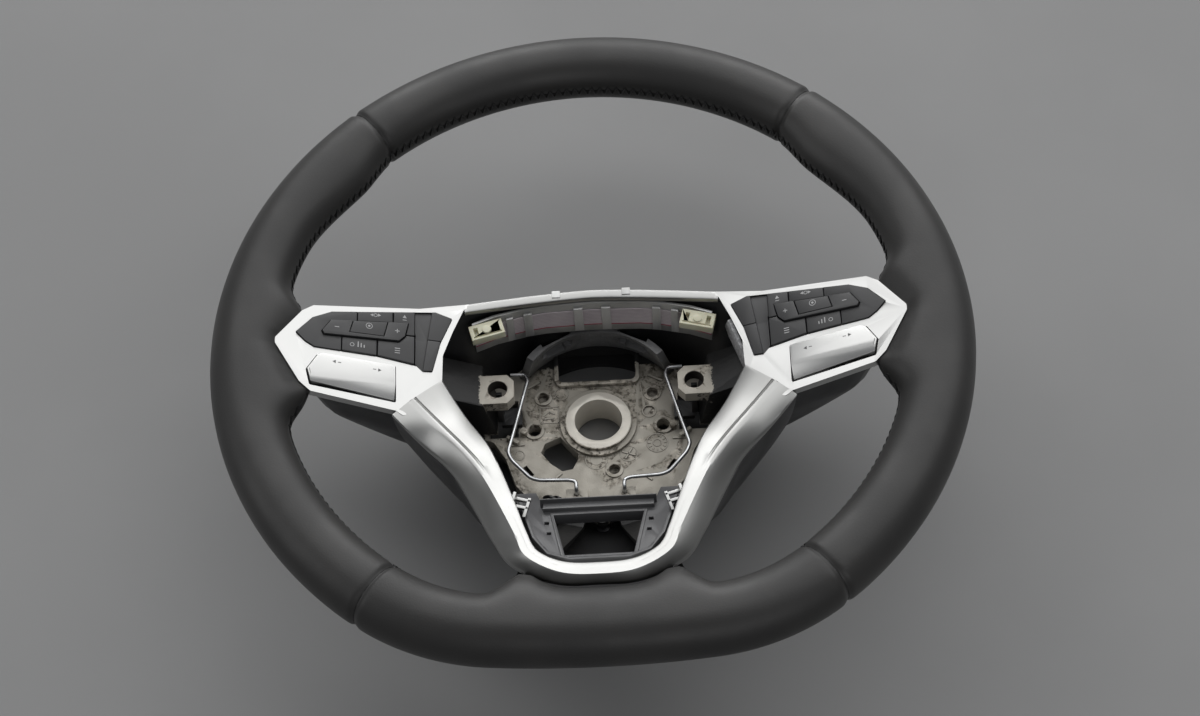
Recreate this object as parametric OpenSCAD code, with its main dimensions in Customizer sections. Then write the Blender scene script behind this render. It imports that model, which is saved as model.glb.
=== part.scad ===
// Car steering wheel without its airbag: leather rim, silver bezel, two key pads, cast frame.
// The origin is the centre of the hub bore at the hub's front face, +Z points to the driver.
// +Y points to twelve o'clock and +X to three o'clock.

/* [Rim] */
// Outer radius of the round part of the rim
rim_outer_r = 185; // [178:1:195]
// Half of the rim's width, from its middle line outwards
rim_half_w = 16; // [14.5:0.5:18]
// Half of the rim's depth, front to back
rim_half_h = 15; // [13.5:0.5:17]
// Height of the rim's middle plane above the hub face
rim_z = 76.5; // [70:0.5:84]
// Distance from the wheel axis to the outside of the flat bottom
bottom_outer = 173; // [168:1:178]
// Radius of the flat bottom's own gentle curve
bottom_arc_r = 554; // [400:10:800]
// Radius of the corners between the flat bottom and the round rim
corner_r = 102; // [80:2:120]
// Extra thickness on the inside of the lower rim
grip_extra = 1.5; // [0:0.5:3]
// Height of the thumb rests on the inside of the rim
thumb_rest = 4.5; // [0:0.5:7]
// Angle of the two upper leather seams above the horizontal
seam_angle = 50; // [46:1:56]
// Thickness of the leather
leather_t = 1.2; // [0.8:0.1:2]
// Width of the seam groove between two leather panels
seam_gap = 0.5; // [0.3:0.1:1]

/* [Bezel] */
// Rise of the spoke faces for each millimetre outwards
face_rise = 0.34; // [0.3:0.01:0.38]
// Drop from the rim's middle plane to the spoke face at 67 mm from the axis
face_drop = 20; // [17:0.5:23]
// Wall of the bezel
bezel_t = 2.4; // [1.8:0.1:3]
// Depth of the bezel's outer skirt
skirt_h = 4; // [3:0.5:5]
// Drop of the arms' outer edge below their ridge
arm_drop = 10; // [7:0.5:12]
// Depth of the wall along the airbag opening
opening_wall_h = 9; // [6:0.5:11]
// Distance from the wheel axis to the tip of each spoke
tip_x = 152.5; // [148:0.5:154]
// Height of the top bar's middle above the wheel axis
top_bar_y = 44; // [42:0.5:47]

/* [Keys] */
// Gap between neighbouring keys
key_gap = 0.5; // [0.4:0.05:0.8]
// Travel of a push key
key_travel = 0.6; // [0.3:0.1:0.7]
// Height of the keys above the bezel
key_h = 1; // [0.4:0.1:1.8]
// Height of the rocking bar above the bezel
bar_h = 2; // [1.4:0.1:3]
// Height of the silver rocker above the bezel
rocker_h = 2.2; // [1.4:0.1:3]
// Depth of the keys below the bezel's face
key_depth = 3; // [2.6:0.1:3.2]
// Clearance round the silver rocker
rocker_gap = 0.6; // [0.5:0.05:0.9]
// Radius of the silver rocker's pivot pins
rocker_pin_r = 1.25; // [1:0.05:1.6]
// Clearance of those pins in their ears, all round
pin_clear = 0.08; // [0.05:0.01:0.15]

/* [Cast frame] */
// Outer radius of the hub boss
hub_r = 17.1; // [16:0.1:20]
// Radius of the hub bore
bore_r = 12.2; // [10:0.1:13]
// Length of the hub bore
bore_len = 18.7; // [15:0.1:24]
// Depth of the plate's face below the hub face
plate_drop = 4; // [2:0.5:6]
// Thickness of the hub plate
plate_t = 6; // [4:0.5:8]
// Width of the plate's rectangular window
window_w = 40; // [34:1:42]
// Height of the plate's rectangular window
window_h = 21; // [16:1:22]
// Radius of the bores in the two airbag lugs
lug_bore_r = 4.8; // [3.5:0.1:5.4]
// Distance of the lugs from the wheel axis, sideways
lug_x = 49.6; // [48:0.2:51]
// Height of the lugs' top above the hub face
lug_top = 26; // [22:0.5:30]
// Thickness of the lugs
lug_t = 7; // [5:0.5:9]
// Width of each spoke of the frame
frame_spoke_w = 24; // [18:1:28]
// Width of the bar inside the rim
core_w = 13; // [10:0.5:15]
// Depth of the bar inside the rim
core_h = 10; // [8:0.5:13]
// Radius of the spring wire that holds the airbag
wire_r = 1; // [0.7:0.05:1.3]

/* [Rear cover] */
// Outer radius of the ring that the wheel rests on
ring_r = 60; // [58:0.5:64]
// Radius of the rear cover's opening round the hub
ring_open_r = 46; // [44:0.5:47]
// Distance from the hub face back to the resting ring
ring_back = 22; // [20:0.5:26]
// Wall of the rear cover
cover_t = 2.6; // [2:0.1:3.2]
// Radius of the three screws that hold the cover
screw_r = 2; // [1.5:0.1:2.5]
// Distance of the screws from the wheel axis
screw_circle_r = 51; // [50.5:0.1:52]

/* [Airbag side] */
// Height of the ribbon cable, front to back
ribbon_h = 13.5; // [10:0.5:16]
// Thickness of the ribbon cable
ribbon_t = 0.5; // [0.3:0.1:0.8]
// Length of each cream connector
connector_l = 17; // [14:0.5:18]
// Width of each cream connector
connector_w = 8.6; // [7:0.2:9.4]
// Width of the lower carrier's window at its top
carrier_window_w = 43; // [36:1:45]

/* [Hidden] */

LEATHER_COLOUR = [0.16, 0.155, 0.15];
SILVER_COLOUR = [0.74, 0.74, 0.73];
KEY_COLOUR = [0.13, 0.125, 0.125];
BLACK_COLOUR = [0.07, 0.07, 0.075];
CAST_COLOUR = [0.62, 0.59, 0.54];
GREY_COLOUR = [0.3, 0.3, 0.31];

// A hair's clearance where two soft or moulded pieces lie on each other
touch_gap = 0.1;
eps = 0.01;

// Walls along the bezel's opening and its outer edge
wall_t = 1.8;
edge_t = 1.6;

// The rim's middle line: a round arc, two corner arcs and the flat bottom's arc
main_r = rim_outer_r - rim_half_w;
bottom_y = bottom_outer - rim_half_w;
arc_centre_y = bottom_arc_r - bottom_y;
inner_reach = main_r - corner_r;
arc_reach = bottom_arc_r - corner_r;
corner_y = (inner_reach * inner_reach - arc_reach * arc_reach + arc_centre_y * arc_centre_y)
    / (2 * arc_centre_y);
corner_x = sqrt(inner_reach * inner_reach - corner_y * corner_y);
corner_start = atan2(corner_y, corner_x);
corner_end = atan2(corner_y - arc_centre_y, corner_x);

// Points round the rim's section, and half of the stitched slit on its inside
section_n = 16;
slit_half = 0.6;

function lerp(a, b, t) = a + (b - a) * t;
function clamp(t) = min(max(t, 0), 1);
function ease(t) = let(c = clamp(t)) c * c * (3 - 2 * c);
function unit2(v) = let(l = sqrt(v[0] * v[0] + v[1] * v[1])) [v[0] / l, v[1] / l];

// A point of the rim's middle line where its outward direction is at angle n
function rim_half_point(n) =
    n >= corner_start ? main_r * [cos(n), sin(n)]
    : n >= corner_end ? [corner_x, corner_y] + corner_r * [cos(n), sin(n)]
    : [0, arc_centre_y] + bottom_arc_r * [cos(n), sin(n)];
function rim_point(n) =
    n > 90 ? let(p = rim_half_point(180 - n)) [-p[0], p[1]]
    : n < -90 ? let(p = rim_half_point(-180 - n)) [-p[0], p[1]]
    : rim_half_point(n);

// Thumb rests start at the upper seams and fade out below them
thumb_peak = seam_angle - 9;
thumb_end = seam_angle - 26;
// Roots where the rim swells inwards to meet the bezel
root_angle = -3;
root_span = 13;
root_swell = 5;
bottom_root_x = 34;
bottom_root_fade = 20;
bottom_root_swell = 3.8;

function side_angle(n) = n > 90 ? 180 - n : n < -90 ? -180 - n : n;
function thumb_at(s) = s > thumb_peak ? ease((seam_angle + 1 - s) / (seam_angle + 1 - thumb_peak))
    : ease((s - thumb_end) / (thumb_peak - thumb_end));
function root_at(s) = 1 - ease(abs(s - root_angle) / root_span);
function bottom_root_at(x) = ease((bottom_root_x + bottom_root_fade - abs(x)) / bottom_root_fade);
function inner_half(n) = let(s = side_angle(n), p = rim_point(n))
    rim_half_w + grip_extra * ease((30 - s) / 40) + thumb_rest * thumb_at(s)
    + root_swell * root_at(s)
    + (s < corner_start ? bottom_root_swell * bottom_root_at(p[0]) : 0);

// The spoke face, its height at a distance from the axis, and the arms' dish round face_y
face_ref = 67;
face_y = 20.4;
face_slope = atan(face_rise);
face_z0 = rim_z - face_drop - face_ref * face_rise;
function face_z(x) = face_z0 + face_rise * abs(x);
function dish_z(x, y) = face_z0 + face_rise * sqrt(x * x + (y - face_y) * (y - face_y));

// Under the spokes' tips the rim stays below the bezel
tuck_gap = 0.9;
tuck_rise = 1.2;
tuck_span = 12;
tuck_thicken = 1.5;
function side_tuck(x) = face_z(x) - skirt_h - tuck_gap + tuck_rise * max(0, abs(x) - tip_x - 6);
function tucked_z(x, z, s, shrink) =
    z <= 0 || s < corner_start ? z
    : lerp(z, min(z, side_tuck(x) - rim_z - tuck_thicken * shrink),
        ease((tuck_span - abs(s - root_angle)) / 4));

function section_point(n, phi, shrink) =
    let(c = rim_point(n), s = side_angle(n),
        a = (cos(phi) > 0 ? rim_half_w : inner_half(n)) - shrink,
        r = a * cos(phi),
        x = c[0] + r * cos(n),
        y = c[1] + r * sin(n),
        z = tucked_z(x, (rim_half_h - shrink) * sin(phi), s, shrink))
    [x, y, rim_z + z];
function section_angle(k) = 180 + slit_half + k * (360 - 2 * slit_half) / section_n;

// Six times the volume inside a set of faces, negative when they wind clockwise seen from outside
function wound_volume(points, faces) =
    let(parts = [for (f = faces) for (i = [1:len(f) - 2])
        cross(points[f[0]], points[f[i]]) * points[f[i + 1]]])
    parts * [for (p = parts) 1];

// A closed skin over a row of rings; each ring's points pair up across it for the end caps
module skin(rings, loop = false) {
    m = len(rings[0]);
    rows = len(rings);
    last = loop ? rows - 1 : rows - 2;
    end = (rows - 1) * m;
    sides = [for (i = [0:last]) for (k = [0:m - 1]) let(next = (i + 1) % rows)
        [i * m + k, i * m + (k + 1) % m, next * m + (k + 1) % m, next * m + k]];
    caps = loop ? [] : [for (k = [0:m / 2 - 2]) each
        [[m - 1 - k, m - 2 - k, k + 1, k], [end + k, end + k + 1, end + m - 2 - k, end + m - 1 - k]]];
    points = [for (r = rings) each r];
    faces = concat(sides, caps);
    turned = [for (f = faces) [for (i = [len(f) - 1:-1:0]) f[i]]];
    polyhedron(points = points, faces = wound_volume(points, faces) < 0 ? faces : turned, convexity = 8);
}

// One leather panel from angle a to angle b, its edges turned in at the seams
seam_dip = 0.5;
function seam_turn(i, rows) = (i == 0 || i == rows) ? seam_dip : 0;
function panel_ring(n, dip) = concat(
    [for (k = [0:section_n]) section_point(n, section_angle(k), dip)],
    [for (k = [section_n:-1:0]) section_point(n, section_angle(k), leather_t)]);
module leather_panel(angles) {
    rows = len(angles) - 1;
    skin([for (i = [0:rows]) panel_ring(angles[i], seam_turn(i, rows))]);
}

// The directions at which the panels' rings stand
seam_half_angle = seam_gap / 2 / main_r * 180 / PI;
edge_angle = 0.6;
function panel_angles(a, b, n) = let(e = edge_angle * sign(b - a))
    concat([a], [for (i = [0:n]) lerp(a + e, b - e, i / n)], [b]);
side_rows = 19;
top_rows = 16;
corner_rows = 6;
bottom_half = concat(
    [corner_start - seam_half_angle],
    [for (i = [0:corner_rows]) lerp(corner_start - edge_angle, corner_end, i / corner_rows)],
    [lerp(corner_end, -90, 0.5)]);
bottom_angles = concat(bottom_half, [-90], [for (i = [len(bottom_half) - 1:-1:0]) -180 - bottom_half[i]]);
right_angles = panel_angles(seam_angle - seam_half_angle, corner_start + seam_half_angle, side_rows);
left_angles = [for (i = [len(right_angles) - 1:-1:0]) 180 - right_angles[i]];
top_angles = panel_angles(180 - seam_angle - seam_half_angle, seam_angle + seam_half_angle, top_rows);

// The panels; those over a spoke have a hole for it
leather_clear = 0.5;
module leather_top() {
    color(LEATHER_COLOUR) leather_panel(top_angles);
}
module leather_right() {
    color(LEATHER_COLOUR) difference() {
        leather_panel(right_angles);
        passages(leather_clear);
    }
}
module leather_left() {
    color(LEATHER_COLOUR) difference() {
        leather_panel(left_angles);
        passages(leather_clear);
    }
}
module leather_bottom() {
    color(LEATHER_COLOUR) difference() {
        leather_panel(bottom_angles);
        passages(leather_clear);
    }
}

// The rim's bar and the space for it, following the panels' rings
function without_ends(list) = [for (i = [1:len(list) - 2]) list[i]];
ring_angles = concat(without_ends(top_angles), without_ends(right_angles), without_ends(bottom_angles),
    without_ends(left_angles));
function rim_outline(d) = [for (n = ring_angles) rim_point(n) + d * [cos(n), sin(n)]];
module rim_bar(grow) {
    translate([0, 0, rim_z]) slab(-core_h / 2 - grow, core_h / 2 + grow) difference() {
        polygon(rim_outline(core_w / 2 + grow));
        polygon(rim_outline(-core_w / 2 - grow));
    }
}

// Spokes of the cast frame: distance out, bottom and top at their start, knee and neck
screw_angles = [30, 150, 270];
spoke_root_r = 44;
root_inset = 0.5;
spoke_y = 8;
lower_spoke_angle = -75;
lower_spoke_w = frame_spoke_w / 2;
side_reach = main_r;
spoke_into_rim = 0.46;
lower_reach = bottom_y / sin(-lower_spoke_angle) + spoke_into_rim;
side_cuts = [[66, 14, 32], [112, 46.5, 55], [150, rim_z - 8.5, rim_z - 3]];
lower_cuts = [[70, 4, 9], [112, 50.5, 57.5], [138, rim_z - 9.5, rim_z - 4]];
side_root = [[57, lug_top - root_inset], [51.5, -plate_drop - root_inset]];
lower_root = [[66, 2], [60, -plate_drop - root_inset]];
function spoke_outline(reach, cuts, root) = [
    [spoke_root_r, -plate_drop - plate_t + root_inset],
    [58, -plate_drop - plate_t + root_inset],
    for (c = cuts) [c[0], c[1]],
    [reach, rim_z - core_h / 2],
    [reach, rim_z + core_h / 2 - 1],
    [reach - core_w / 2 - 1, rim_z - 1],
    [cuts[2][0], cuts[2][2]],
    [cuts[1][0], cuts[1][2]],
    root[0],
    root[1],
    [spoke_root_r, -plate_drop - root_inset]];
module spoke_bar(reach, width, cuts, root) {
    rotate([90, 0, 0]) linear_extrude(height = width, center = true)
        polygon(spoke_outline(reach, cuts, root));
}
module at_spokes() {
    for (side = [0, 1]) mirror([side, 0, 0]) {
        translate([0, spoke_y, 0]) children(0);
        rotate([0, 0, lower_spoke_angle]) children(1);
    }
}

// The hub plate's outline on its right half, hand placed round the lug and its gap
plate_half = [[0, 49], [17, 48.6], [30, 41.5], [46, 30], [58, 22], [64, 14], [64, -4], [54, -8],
    [48, -18], [43, -34], [33, -46], [20, -52], [0, -52]];
plate_outline = concat(plate_half,
    [for (i = [len(plate_half) - 2:-1:1]) [-plate_half[i][0], plate_half[i][1]]]);
window_y = 24.5;
lip_w = 2;
lip_h = 2.6;
lug_y = 5.3;
notch_w = 15;
notch_h = 22;
shaped_hole = [[-30, -15.5], [-27.8, -10.2], [-19.8, -6.6], [-16.8, -10.8], [-10.7, -17.2],
    [-11.3, -20.8], [-14, -26], [-19.3, -26.9], [-24.9, -22.4]];
through_hole = [33, -2.5];
through_hole_r = 3.4;
blind_holes = [[-28.2, 17], [28.2, 17], [7.1, -27.6]];
blind_hole_r = 2.9;
blind_hole_d = 4;
sink_mark = [26.2, 6.1];
pad_w = 11;
pad_l = 8;
pad_y = -46;
pad_x = 12;
pad_top = 4;
oblique_slot = [36.5, -26];
frame_web = 3.5;

module rounded_box(w, l, h, r) {
    translate([0, 0, h / 2]) {
        cube([w - 2 * r, l, h], center = true);
        cube([w, l - 2 * r, h], center = true);
    }
    for (x = [-1, 1]) for (y = [-1, 1])
        translate([x * (w / 2 - r), y * (l / 2 - r), 0]) cylinder(r = r, h = h, $fn = 32);
}

module lug() {
    translate([lug_x, lug_y, lug_top - lug_t]) {
        linear_extrude(height = lug_t) polygon(lug_edge);
        translate([0, -6.5, 0]) cube([64 - lug_x, 13, 4]);
    }
}

// Small features of the casting: a rib, a stud, rims round the holes and bosses behind for the screws
lug_edge = [[-8.2, -4.6], [-4.8, -8.3], [8.4, -8.3], [8.4, 8.3], [-4.8, 8.3], [-8.2, 4.6]];
rib_at = [41.7, -11];
rib_turn = 35;
rib_size = [7, 1.6, 4];
stud_at = [38.4, -4];
stud_r = 1.8;
rim_w = 1.7;
rim_h = 0.8;
boss_back_r = 4.5;
boss_back_h = 2;
collar_w = 2.5;
collar_h = 2;
sink_r = 3.1;
pad_slot = [4.4, 5];
slot_size = [7, 2.4];
slot_turn = 55;
pin_clear_wire = 0.1;
plate_bottom = -plate_drop - plate_t;
module on_plate(at, down = 1) {
    translate([at[0], at[1], -plate_drop - down]) children();
}
module through_plate() {
    translate([0, 0, plate_bottom - 1]) linear_extrude(height = plate_t + 2) children();
}
module at_screws() {
    for (a = screw_angles) rotate([0, 0, a]) translate([screw_circle_r, 0, 0]) children();
}
module casting_details() {
    lug();
    // Square pads that take the spring wire's ends
    translate([pad_x - pad_w / 2, pad_y - pad_l / 2, -plate_drop - 1])
        cube([pad_w, pad_l, pad_top + plate_drop + 1]);
    on_plate(rib_at) rotate([0, 0, rib_turn]) cube(rib_size);
    on_plate(stud_at) cylinder(r = stud_r, h = 5, $fn = 32);
    on_plate(through_hole) cylinder(r = through_hole_r + rim_w, h = 1 + rim_h, $fn = 48);
}
module casting_cuts() {
    translate([lug_x, lug_y, lug_top - lug_t - 5]) cylinder(r = lug_bore_r, h = lug_t + 10, $fn = 96);
    translate([through_hole[0], through_hole[1], plate_bottom - 3])
        cylinder(r = through_hole_r, h = plate_t + 8, $fn = 48);
    // The gap under each lug
    through_plate() translate([lug_x - 8.5, lug_y - notch_h / 2]) square([notch_w, notch_h]);
    // Holes that the wire's ends drop into
    translate([pad_x, pad_y + 1, pad_top - 3]) cylinder(r = wire_r + pin_clear_wire, h = 4, $fn = 32);
    through_plate() translate(oblique_slot) rotate([0, 0, slot_turn])
        square(slot_size, center = true);
}
module armature() {
    color(CAST_COLOUR) difference() {
        union() {
            translate([0, 0, plate_bottom]) linear_extrude(height = plate_t) polygon(plate_outline);
            translate([0, 0, -bore_len]) cylinder(r = hub_r, h = bore_len, $fn = 96);
            translate([0, 0, plate_bottom]) cylinder(r = hub_r + collar_w, h = plate_t + collar_h, $fn = 96);
            // Raised lip round the window
            translate([0, window_y + window_h / 2, -plate_drop - 1])
                rounded_box(window_w + 2 * lip_w, window_h + 2 * lip_w, lip_h + 1, 4);
            for (side = [0, 1]) mirror([side, 0, 0]) casting_details();
            for (p = blind_holes) on_plate(p) cylinder(r = blind_hole_r + rim_w, h = 1 + rim_h, $fn = 48);
            at_screws() translate([0, 0, plate_bottom - boss_back_h])
                cylinder(r = boss_back_r, h = boss_back_h + 2, $fn = 48);
            at_spokes() {
                spoke_bar(side_reach, frame_spoke_w, side_cuts, side_root);
                spoke_bar(lower_reach, lower_spoke_w, lower_cuts, lower_root);
            }
            rim_bar(0);
        }
        translate([0, 0, -bore_len - 5]) cylinder(r = bore_r, h = bore_len + 10, $fn = 96);
        translate([0, window_y + window_h / 2, plate_bottom - 2])
            rounded_box(window_w, window_h, plate_t + lip_h + 6, 3);
        through_plate() polygon(shaped_hole);
        for (p = blind_holes) on_plate(p, blind_hole_d - rim_h)
            cylinder(r = blind_hole_r, h = blind_hole_d + 1, $fn = 48);
        on_plate(sink_mark, rim_h) cylinder(r = sink_r, h = 3, $fn = 48);
        at_screws() translate([0, 0, plate_bottom - 3]) cylinder(r = screw_r + 0.05, h = 7, $fn = 48);
        // A slot between the two square pads
        through_plate() translate([-pad_slot[0] / 2, pad_y - 1.4]) square(pad_slot);
        for (side = [0, 1]) mirror([side, 0, 0]) casting_cuts();
        // Channels along the back of the spokes
        at_spokes() {
            spoke_channel(side_reach - 14, frame_spoke_w, side_cuts, side_root);
            spoke_channel(lower_reach - 9, lower_spoke_w, lower_cuts, lower_root);
        }
    }
}
module spoke_channel(reach, width, cuts, root) {
    translate([0, 0, -frame_web]) difference() {
        spoke_bar(reach, width - 2 * frame_web, cuts, root);
        translate([0, -50, -40]) cube([66, 100, 80]);
    }
}

// A clear way round one spoke of the frame, in three straight lengths
module passage(reach, width, cuts, clear) {
    ends = concat(cuts, [[reach - 1, rim_z - core_h / 2, rim_z + core_h / 2 - 1]]);
    for (i = [0:2]) hull() for (c = [ends[i], ends[i + 1]])
        translate([c[0], -width / 2 - clear, c[1] - clear])
            cube([eps, width + 2 * clear, c[2] - c[1] + 2 * clear]);
}
module passages(clear) {
    for (side = [0, 1]) mirror([side, 0, 0]) {
        translate([0, spoke_y, 0]) passage(side_reach, frame_spoke_w, side_cuts, clear);
        rotate([0, 0, lower_spoke_angle]) passage(lower_reach, lower_spoke_w, lower_cuts, clear);
    }
}

// Foam moulded round the frame's rim bar, under the leather
foam_clear = leather_t + touch_gap;
core_clear = 0.1;
passage_clear = 0.4;
function foam_ring(n) =
    [for (k = [0:section_n]) section_point(n, section_angle(k), foam_clear)];
module rim_foam() {
    color(BLACK_COLOUR) difference() {
        skin([for (n = ring_angles) foam_ring(n)], loop = true);
        rim_bar(core_clear);
        passages(passage_clear);
    }
}

// Foam round the top of the hub plate, its wall leaning in towards the cable
hub_foam_out = 50.4;
hub_foam_in = 46.4;
hub_foam_top = 22;
hub_foam_lean = 7;
hub_foam_angle = 37;
pocket_w = 17;
module hub_foam() {
    color(BLACK_COLOUR) difference() {
        rotate([0, 0, hub_foam_angle]) rotate_extrude(angle = 180 - 2 * hub_foam_angle)
            polygon([[hub_foam_in, -plate_drop], [hub_foam_out, -plate_drop],
                [hub_foam_out - hub_foam_lean, hub_foam_top], [hub_foam_in - hub_foam_lean, hub_foam_top]]);
        translate([0, 36, -plate_drop - 1])
            cube([window_w + 2 * lip_w + 0.6, 2 * (window_y + window_h + lip_w + 0.3 - 36),
                2 * (lip_h + 1.3)], center = true);
        // Two stepped pockets
        for (side = [0, 1]) mirror([side, 0, 0]) rotate([0, 0, 62]) translate([hub_foam_in - 6, 0, 8]) {
            translate([0, -pocket_w / 2, 0]) cube([5, pocket_w, 20]);
            translate([0, -pocket_w / 2 + 3, -4]) cube([6.5, pocket_w - 6, 20]);
        }
    }
}

// Everything on a spoke's face stands in this frame: along the spoke, up, and out of the face
module spoke_frame(side) {
    mirror([side < 0 ? 1 : 0, 0, 0]) translate([0, 0, face_z0]) rotate([0, -face_slope, 0]) children();
}
module slab(low, high) {
    translate([0, 0, low]) linear_extrude(height = high - low) children();
}

// Outlines on the spoke's face
tip_u = tip_x / cos(face_slope);
spoke_edge = [[61, 39.6], [66.5, 38], [90, 31.9], [125, 27.9], [143, 25.9], [148.5, 22], [tip_u, 4.6],
    [tip_u, 1.6], [148.6, -18.6], [143, -23.4], [101, -28.9], [97, -31.5], [79.5, -12], [78.3, -8],
    [78, 6], [72.9, 21], [67.4, 34.6]];
pad_edge = [[151, 9], [143, 18.5], [134, 23], [82, 30.5], [73.6, 28], [79.5, 13], [83.5, -4.2], [88, -4.6],
    [91, -1.8], [110, 0.8], [142, 1.8], [146.5, 4.5]];
bar_edge = [[96, 21.3], [97.6, 13.5], [100.5, 10.4], [137.4, 9.3], [138.4, 11], [134.3, 17.5]];
centre_edge = [[106, 22], [122.8, 20], [124.8, 12.1], [108.2, 12.1]];
rocker_edge = [[102, -4], [138, -1.9], [140.2, -3.2], [145, -11.5], [143.2, -19.4], [101.6, -23.8]];
groove_edge = [[83.4, 32], [92.4, 32], [91.3, -6], [88.2, -6]];
housing_edge = [[74.6, 26.8], [82, 28.4], [131, 22], [140.6, 12], [141, 0], [137.4, -15.4], [134, -19],
    [103, -24.6], [87, -12.5], [81.6, -6], [81, 5], [77.5, 18]];
key_split_v = 14.6;
inner_key_u = 92.2;
upper_inner_l = 11.1;
upper_l = 18;
lower_inner_l = 18.8;
lower_l = 17.7;
upper_split_u = inner_key_u + upper_inner_l;
upper_tip_u = upper_split_u + upper_l;
lower_split_u = inner_key_u + lower_inner_l;
lower_tip_u = lower_split_u + lower_l;
end_split_v = 13.6;
window_gap = 0.4;

module bar_shape() { polygon(bar_edge); }
module pad_shape() { polygon(pad_edge); }
module rocker_shape() { polygon(rocker_edge); }

// The arms of the bezel: inner edge, ridge and outer edge, with the outer edge's share of the drop
arm_rows = [[74, -8, 88, -22, 95, -29, 0.4], [63, -28, 73, -41, 81, -47.5, 0.7],
    [52, -47, 61, -57, 69.5, -60.5, 0.9], [45, -65, 53, -71, 62, -75, 1],
    [38, -87, 45, -89.5, 56, -89, 1], [33, -104, 38.5, -106, 49.5, -104, 0.95],
    [28, -116, 32.5, -119.5, 40, -121, 0.85], [16, -123.5, 17.5, -129, 20, -133.2, 0.7],
    [0, -124.8, 0, -131, 0, -134.8, 0.65]];
function flip_row(r) = [-r[0], r[1], -r[2], r[3], -r[4], r[5], r[6]];
arm_all = concat(arm_rows, [for (i = [len(arm_rows) - 2:-1:0]) flip_row(arm_rows[i])]);
function arm_z(x, y) = lerp(face_z(x), dish_z(x, y), ease((-y - 8) / 45));
function curve(a, b, c, d, t) = 0.5 * (2 * b + (c - a) * t + (2 * a - 5 * b + 4 * c - d) * t * t
    + (3 * b - a - 3 * c + d) * t * t * t);
function smooth_rows(rows, steps) = concat([for (i = [0:len(rows) - 2]) for (s = [0:steps - 1])
    curve(rows[max(i - 1, 0)], rows[i], rows[i + 1], rows[min(i + 2, len(rows) - 1)], s / steps)],
    [rows[len(rows) - 1]]);
function arm_outer(r) = [r[4], r[5], arm_z(r[2], r[3]) - arm_drop * r[6]];
function arm_ring(r) =
    let(inner = [r[0], r[1], arm_z(r[0], r[1])], ridge = [r[2], r[3], arm_z(r[2], r[3])],
        outer = arm_outer(r),
        slope = (ridge + outer) / 2 + [0, 0, arm_drop * r[6] * 0.14],
        d = wall_t * unit2([inner[0] - outer[0], inner[1] - outer[1]]),
        inset = [d[0], d[1], 0], down = [0, 0, -bezel_t])
    [inner - [0, 0, opening_wall_h], inner, ridge, slope, outer,
        outer + inset - [0, 0, edge_t], slope + down, ridge + down, inner - inset + down,
        inner - inset - [0, 0, opening_wall_h]];
arm_steps = 3;

// The top bar of the bezel, a gentle arch between the spokes
bar_span = 63.4;
bar_n = 12;
bar_sag = 6.4;
bar_w = 5;
bar_t = 3;
bar_dip = 2;
bar_lip = 0.8;
bar_lip_w = 1.2;
bar_sink = 0.3;
function bar_y(x) = top_bar_y + 0.8 - bar_sag * pow(abs(x) / bar_span, 1.5);
function bar_z(x) = face_z(bar_span) - bar_sink - bar_dip * (1 - x * x / (bar_span * bar_span));
function bar_ring(x) = let(y = bar_y(x), z = bar_z(x), low = z - bar_t - bar_lip)
    [[x, y - bar_lip_w, low], [x, y - bar_lip_w, z - bar_t], [x, y - bar_w, z - bar_t],
        [x, y - bar_w, z], [x, y, z], [x, y, low]];

// The plate's edge along the opening, and the wall that hangs from it
plate_inner = [[69.4, 30], [73, 21.1], [78.1, 6], [78.4, -7.9]];
skirt_inset = 0.1;
skirt_cut = [[55, 60], [72, 60], [72, 35], [77, 22], [82, 5], [84, -10], [98.5, -26], [98.5, -45],
    [55, -45]];
module spoke_plate() {
    difference() {
        union() {
            slab(-bezel_t, 0) polygon(spoke_edge);
            slab(-skirt_h, -bezel_t / 2) difference() {
                offset(delta = -skirt_inset) polygon(spoke_edge);
                offset(delta = -edge_t - skirt_inset) polygon(spoke_edge);
                polygon(skirt_cut);
            }
            slab(-opening_wall_h, -bezel_t / 2) polygon(concat(
                plate_inner, [for (i = [len(plate_inner) - 1:-1:0]) plate_inner[i] + [wall_t, 0]]));
        }
        slab(-opening_wall_h - 1, 5) offset(delta = window_gap) pad_shape();
        slab(-opening_wall_h - 1, 5) offset(delta = rocker_gap) rocker_shape();
    }
}

// Hooks of the bezel that hold the lower carrier
hook_x = 38;
hook_y = -79;
hook_bars = [[-5.5, 0.7, 2, 0.7, 2], [-5.5, -3.3, 2, -3.3, 2], [-5.5, -7.5, -5.5, 1.5, 2],
    [1.5, -7.5, 1.5, 1.5, 5]];
module bezel_hook() {
    translate([hook_x, hook_y, arm_z(hook_x, hook_y) - opening_wall_h - 0.8]) rotate([0, 0, 17])
        for (b = hook_bars) hull() for (p = [[b[0], b[1]], [b[2], b[3]]])
            translate([p[0], p[1], 0]) cylinder(r = 0.8, h = b[4], $fn = 12);
}

module bezel() {
    color(SILVER_COLOUR) {
        for (side = [-1, 1]) spoke_frame(side) spoke_plate();
        skin([for (r = smooth_rows(arm_all, arm_steps)) arm_ring(r)]);
        skin([for (i = [0:bar_n]) bar_ring(lerp(-bar_span, bar_span, i / bar_n))]);
        for (side = [0, 1]) mirror([side, 0, 0]) bezel_hook();
    }
}

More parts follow.
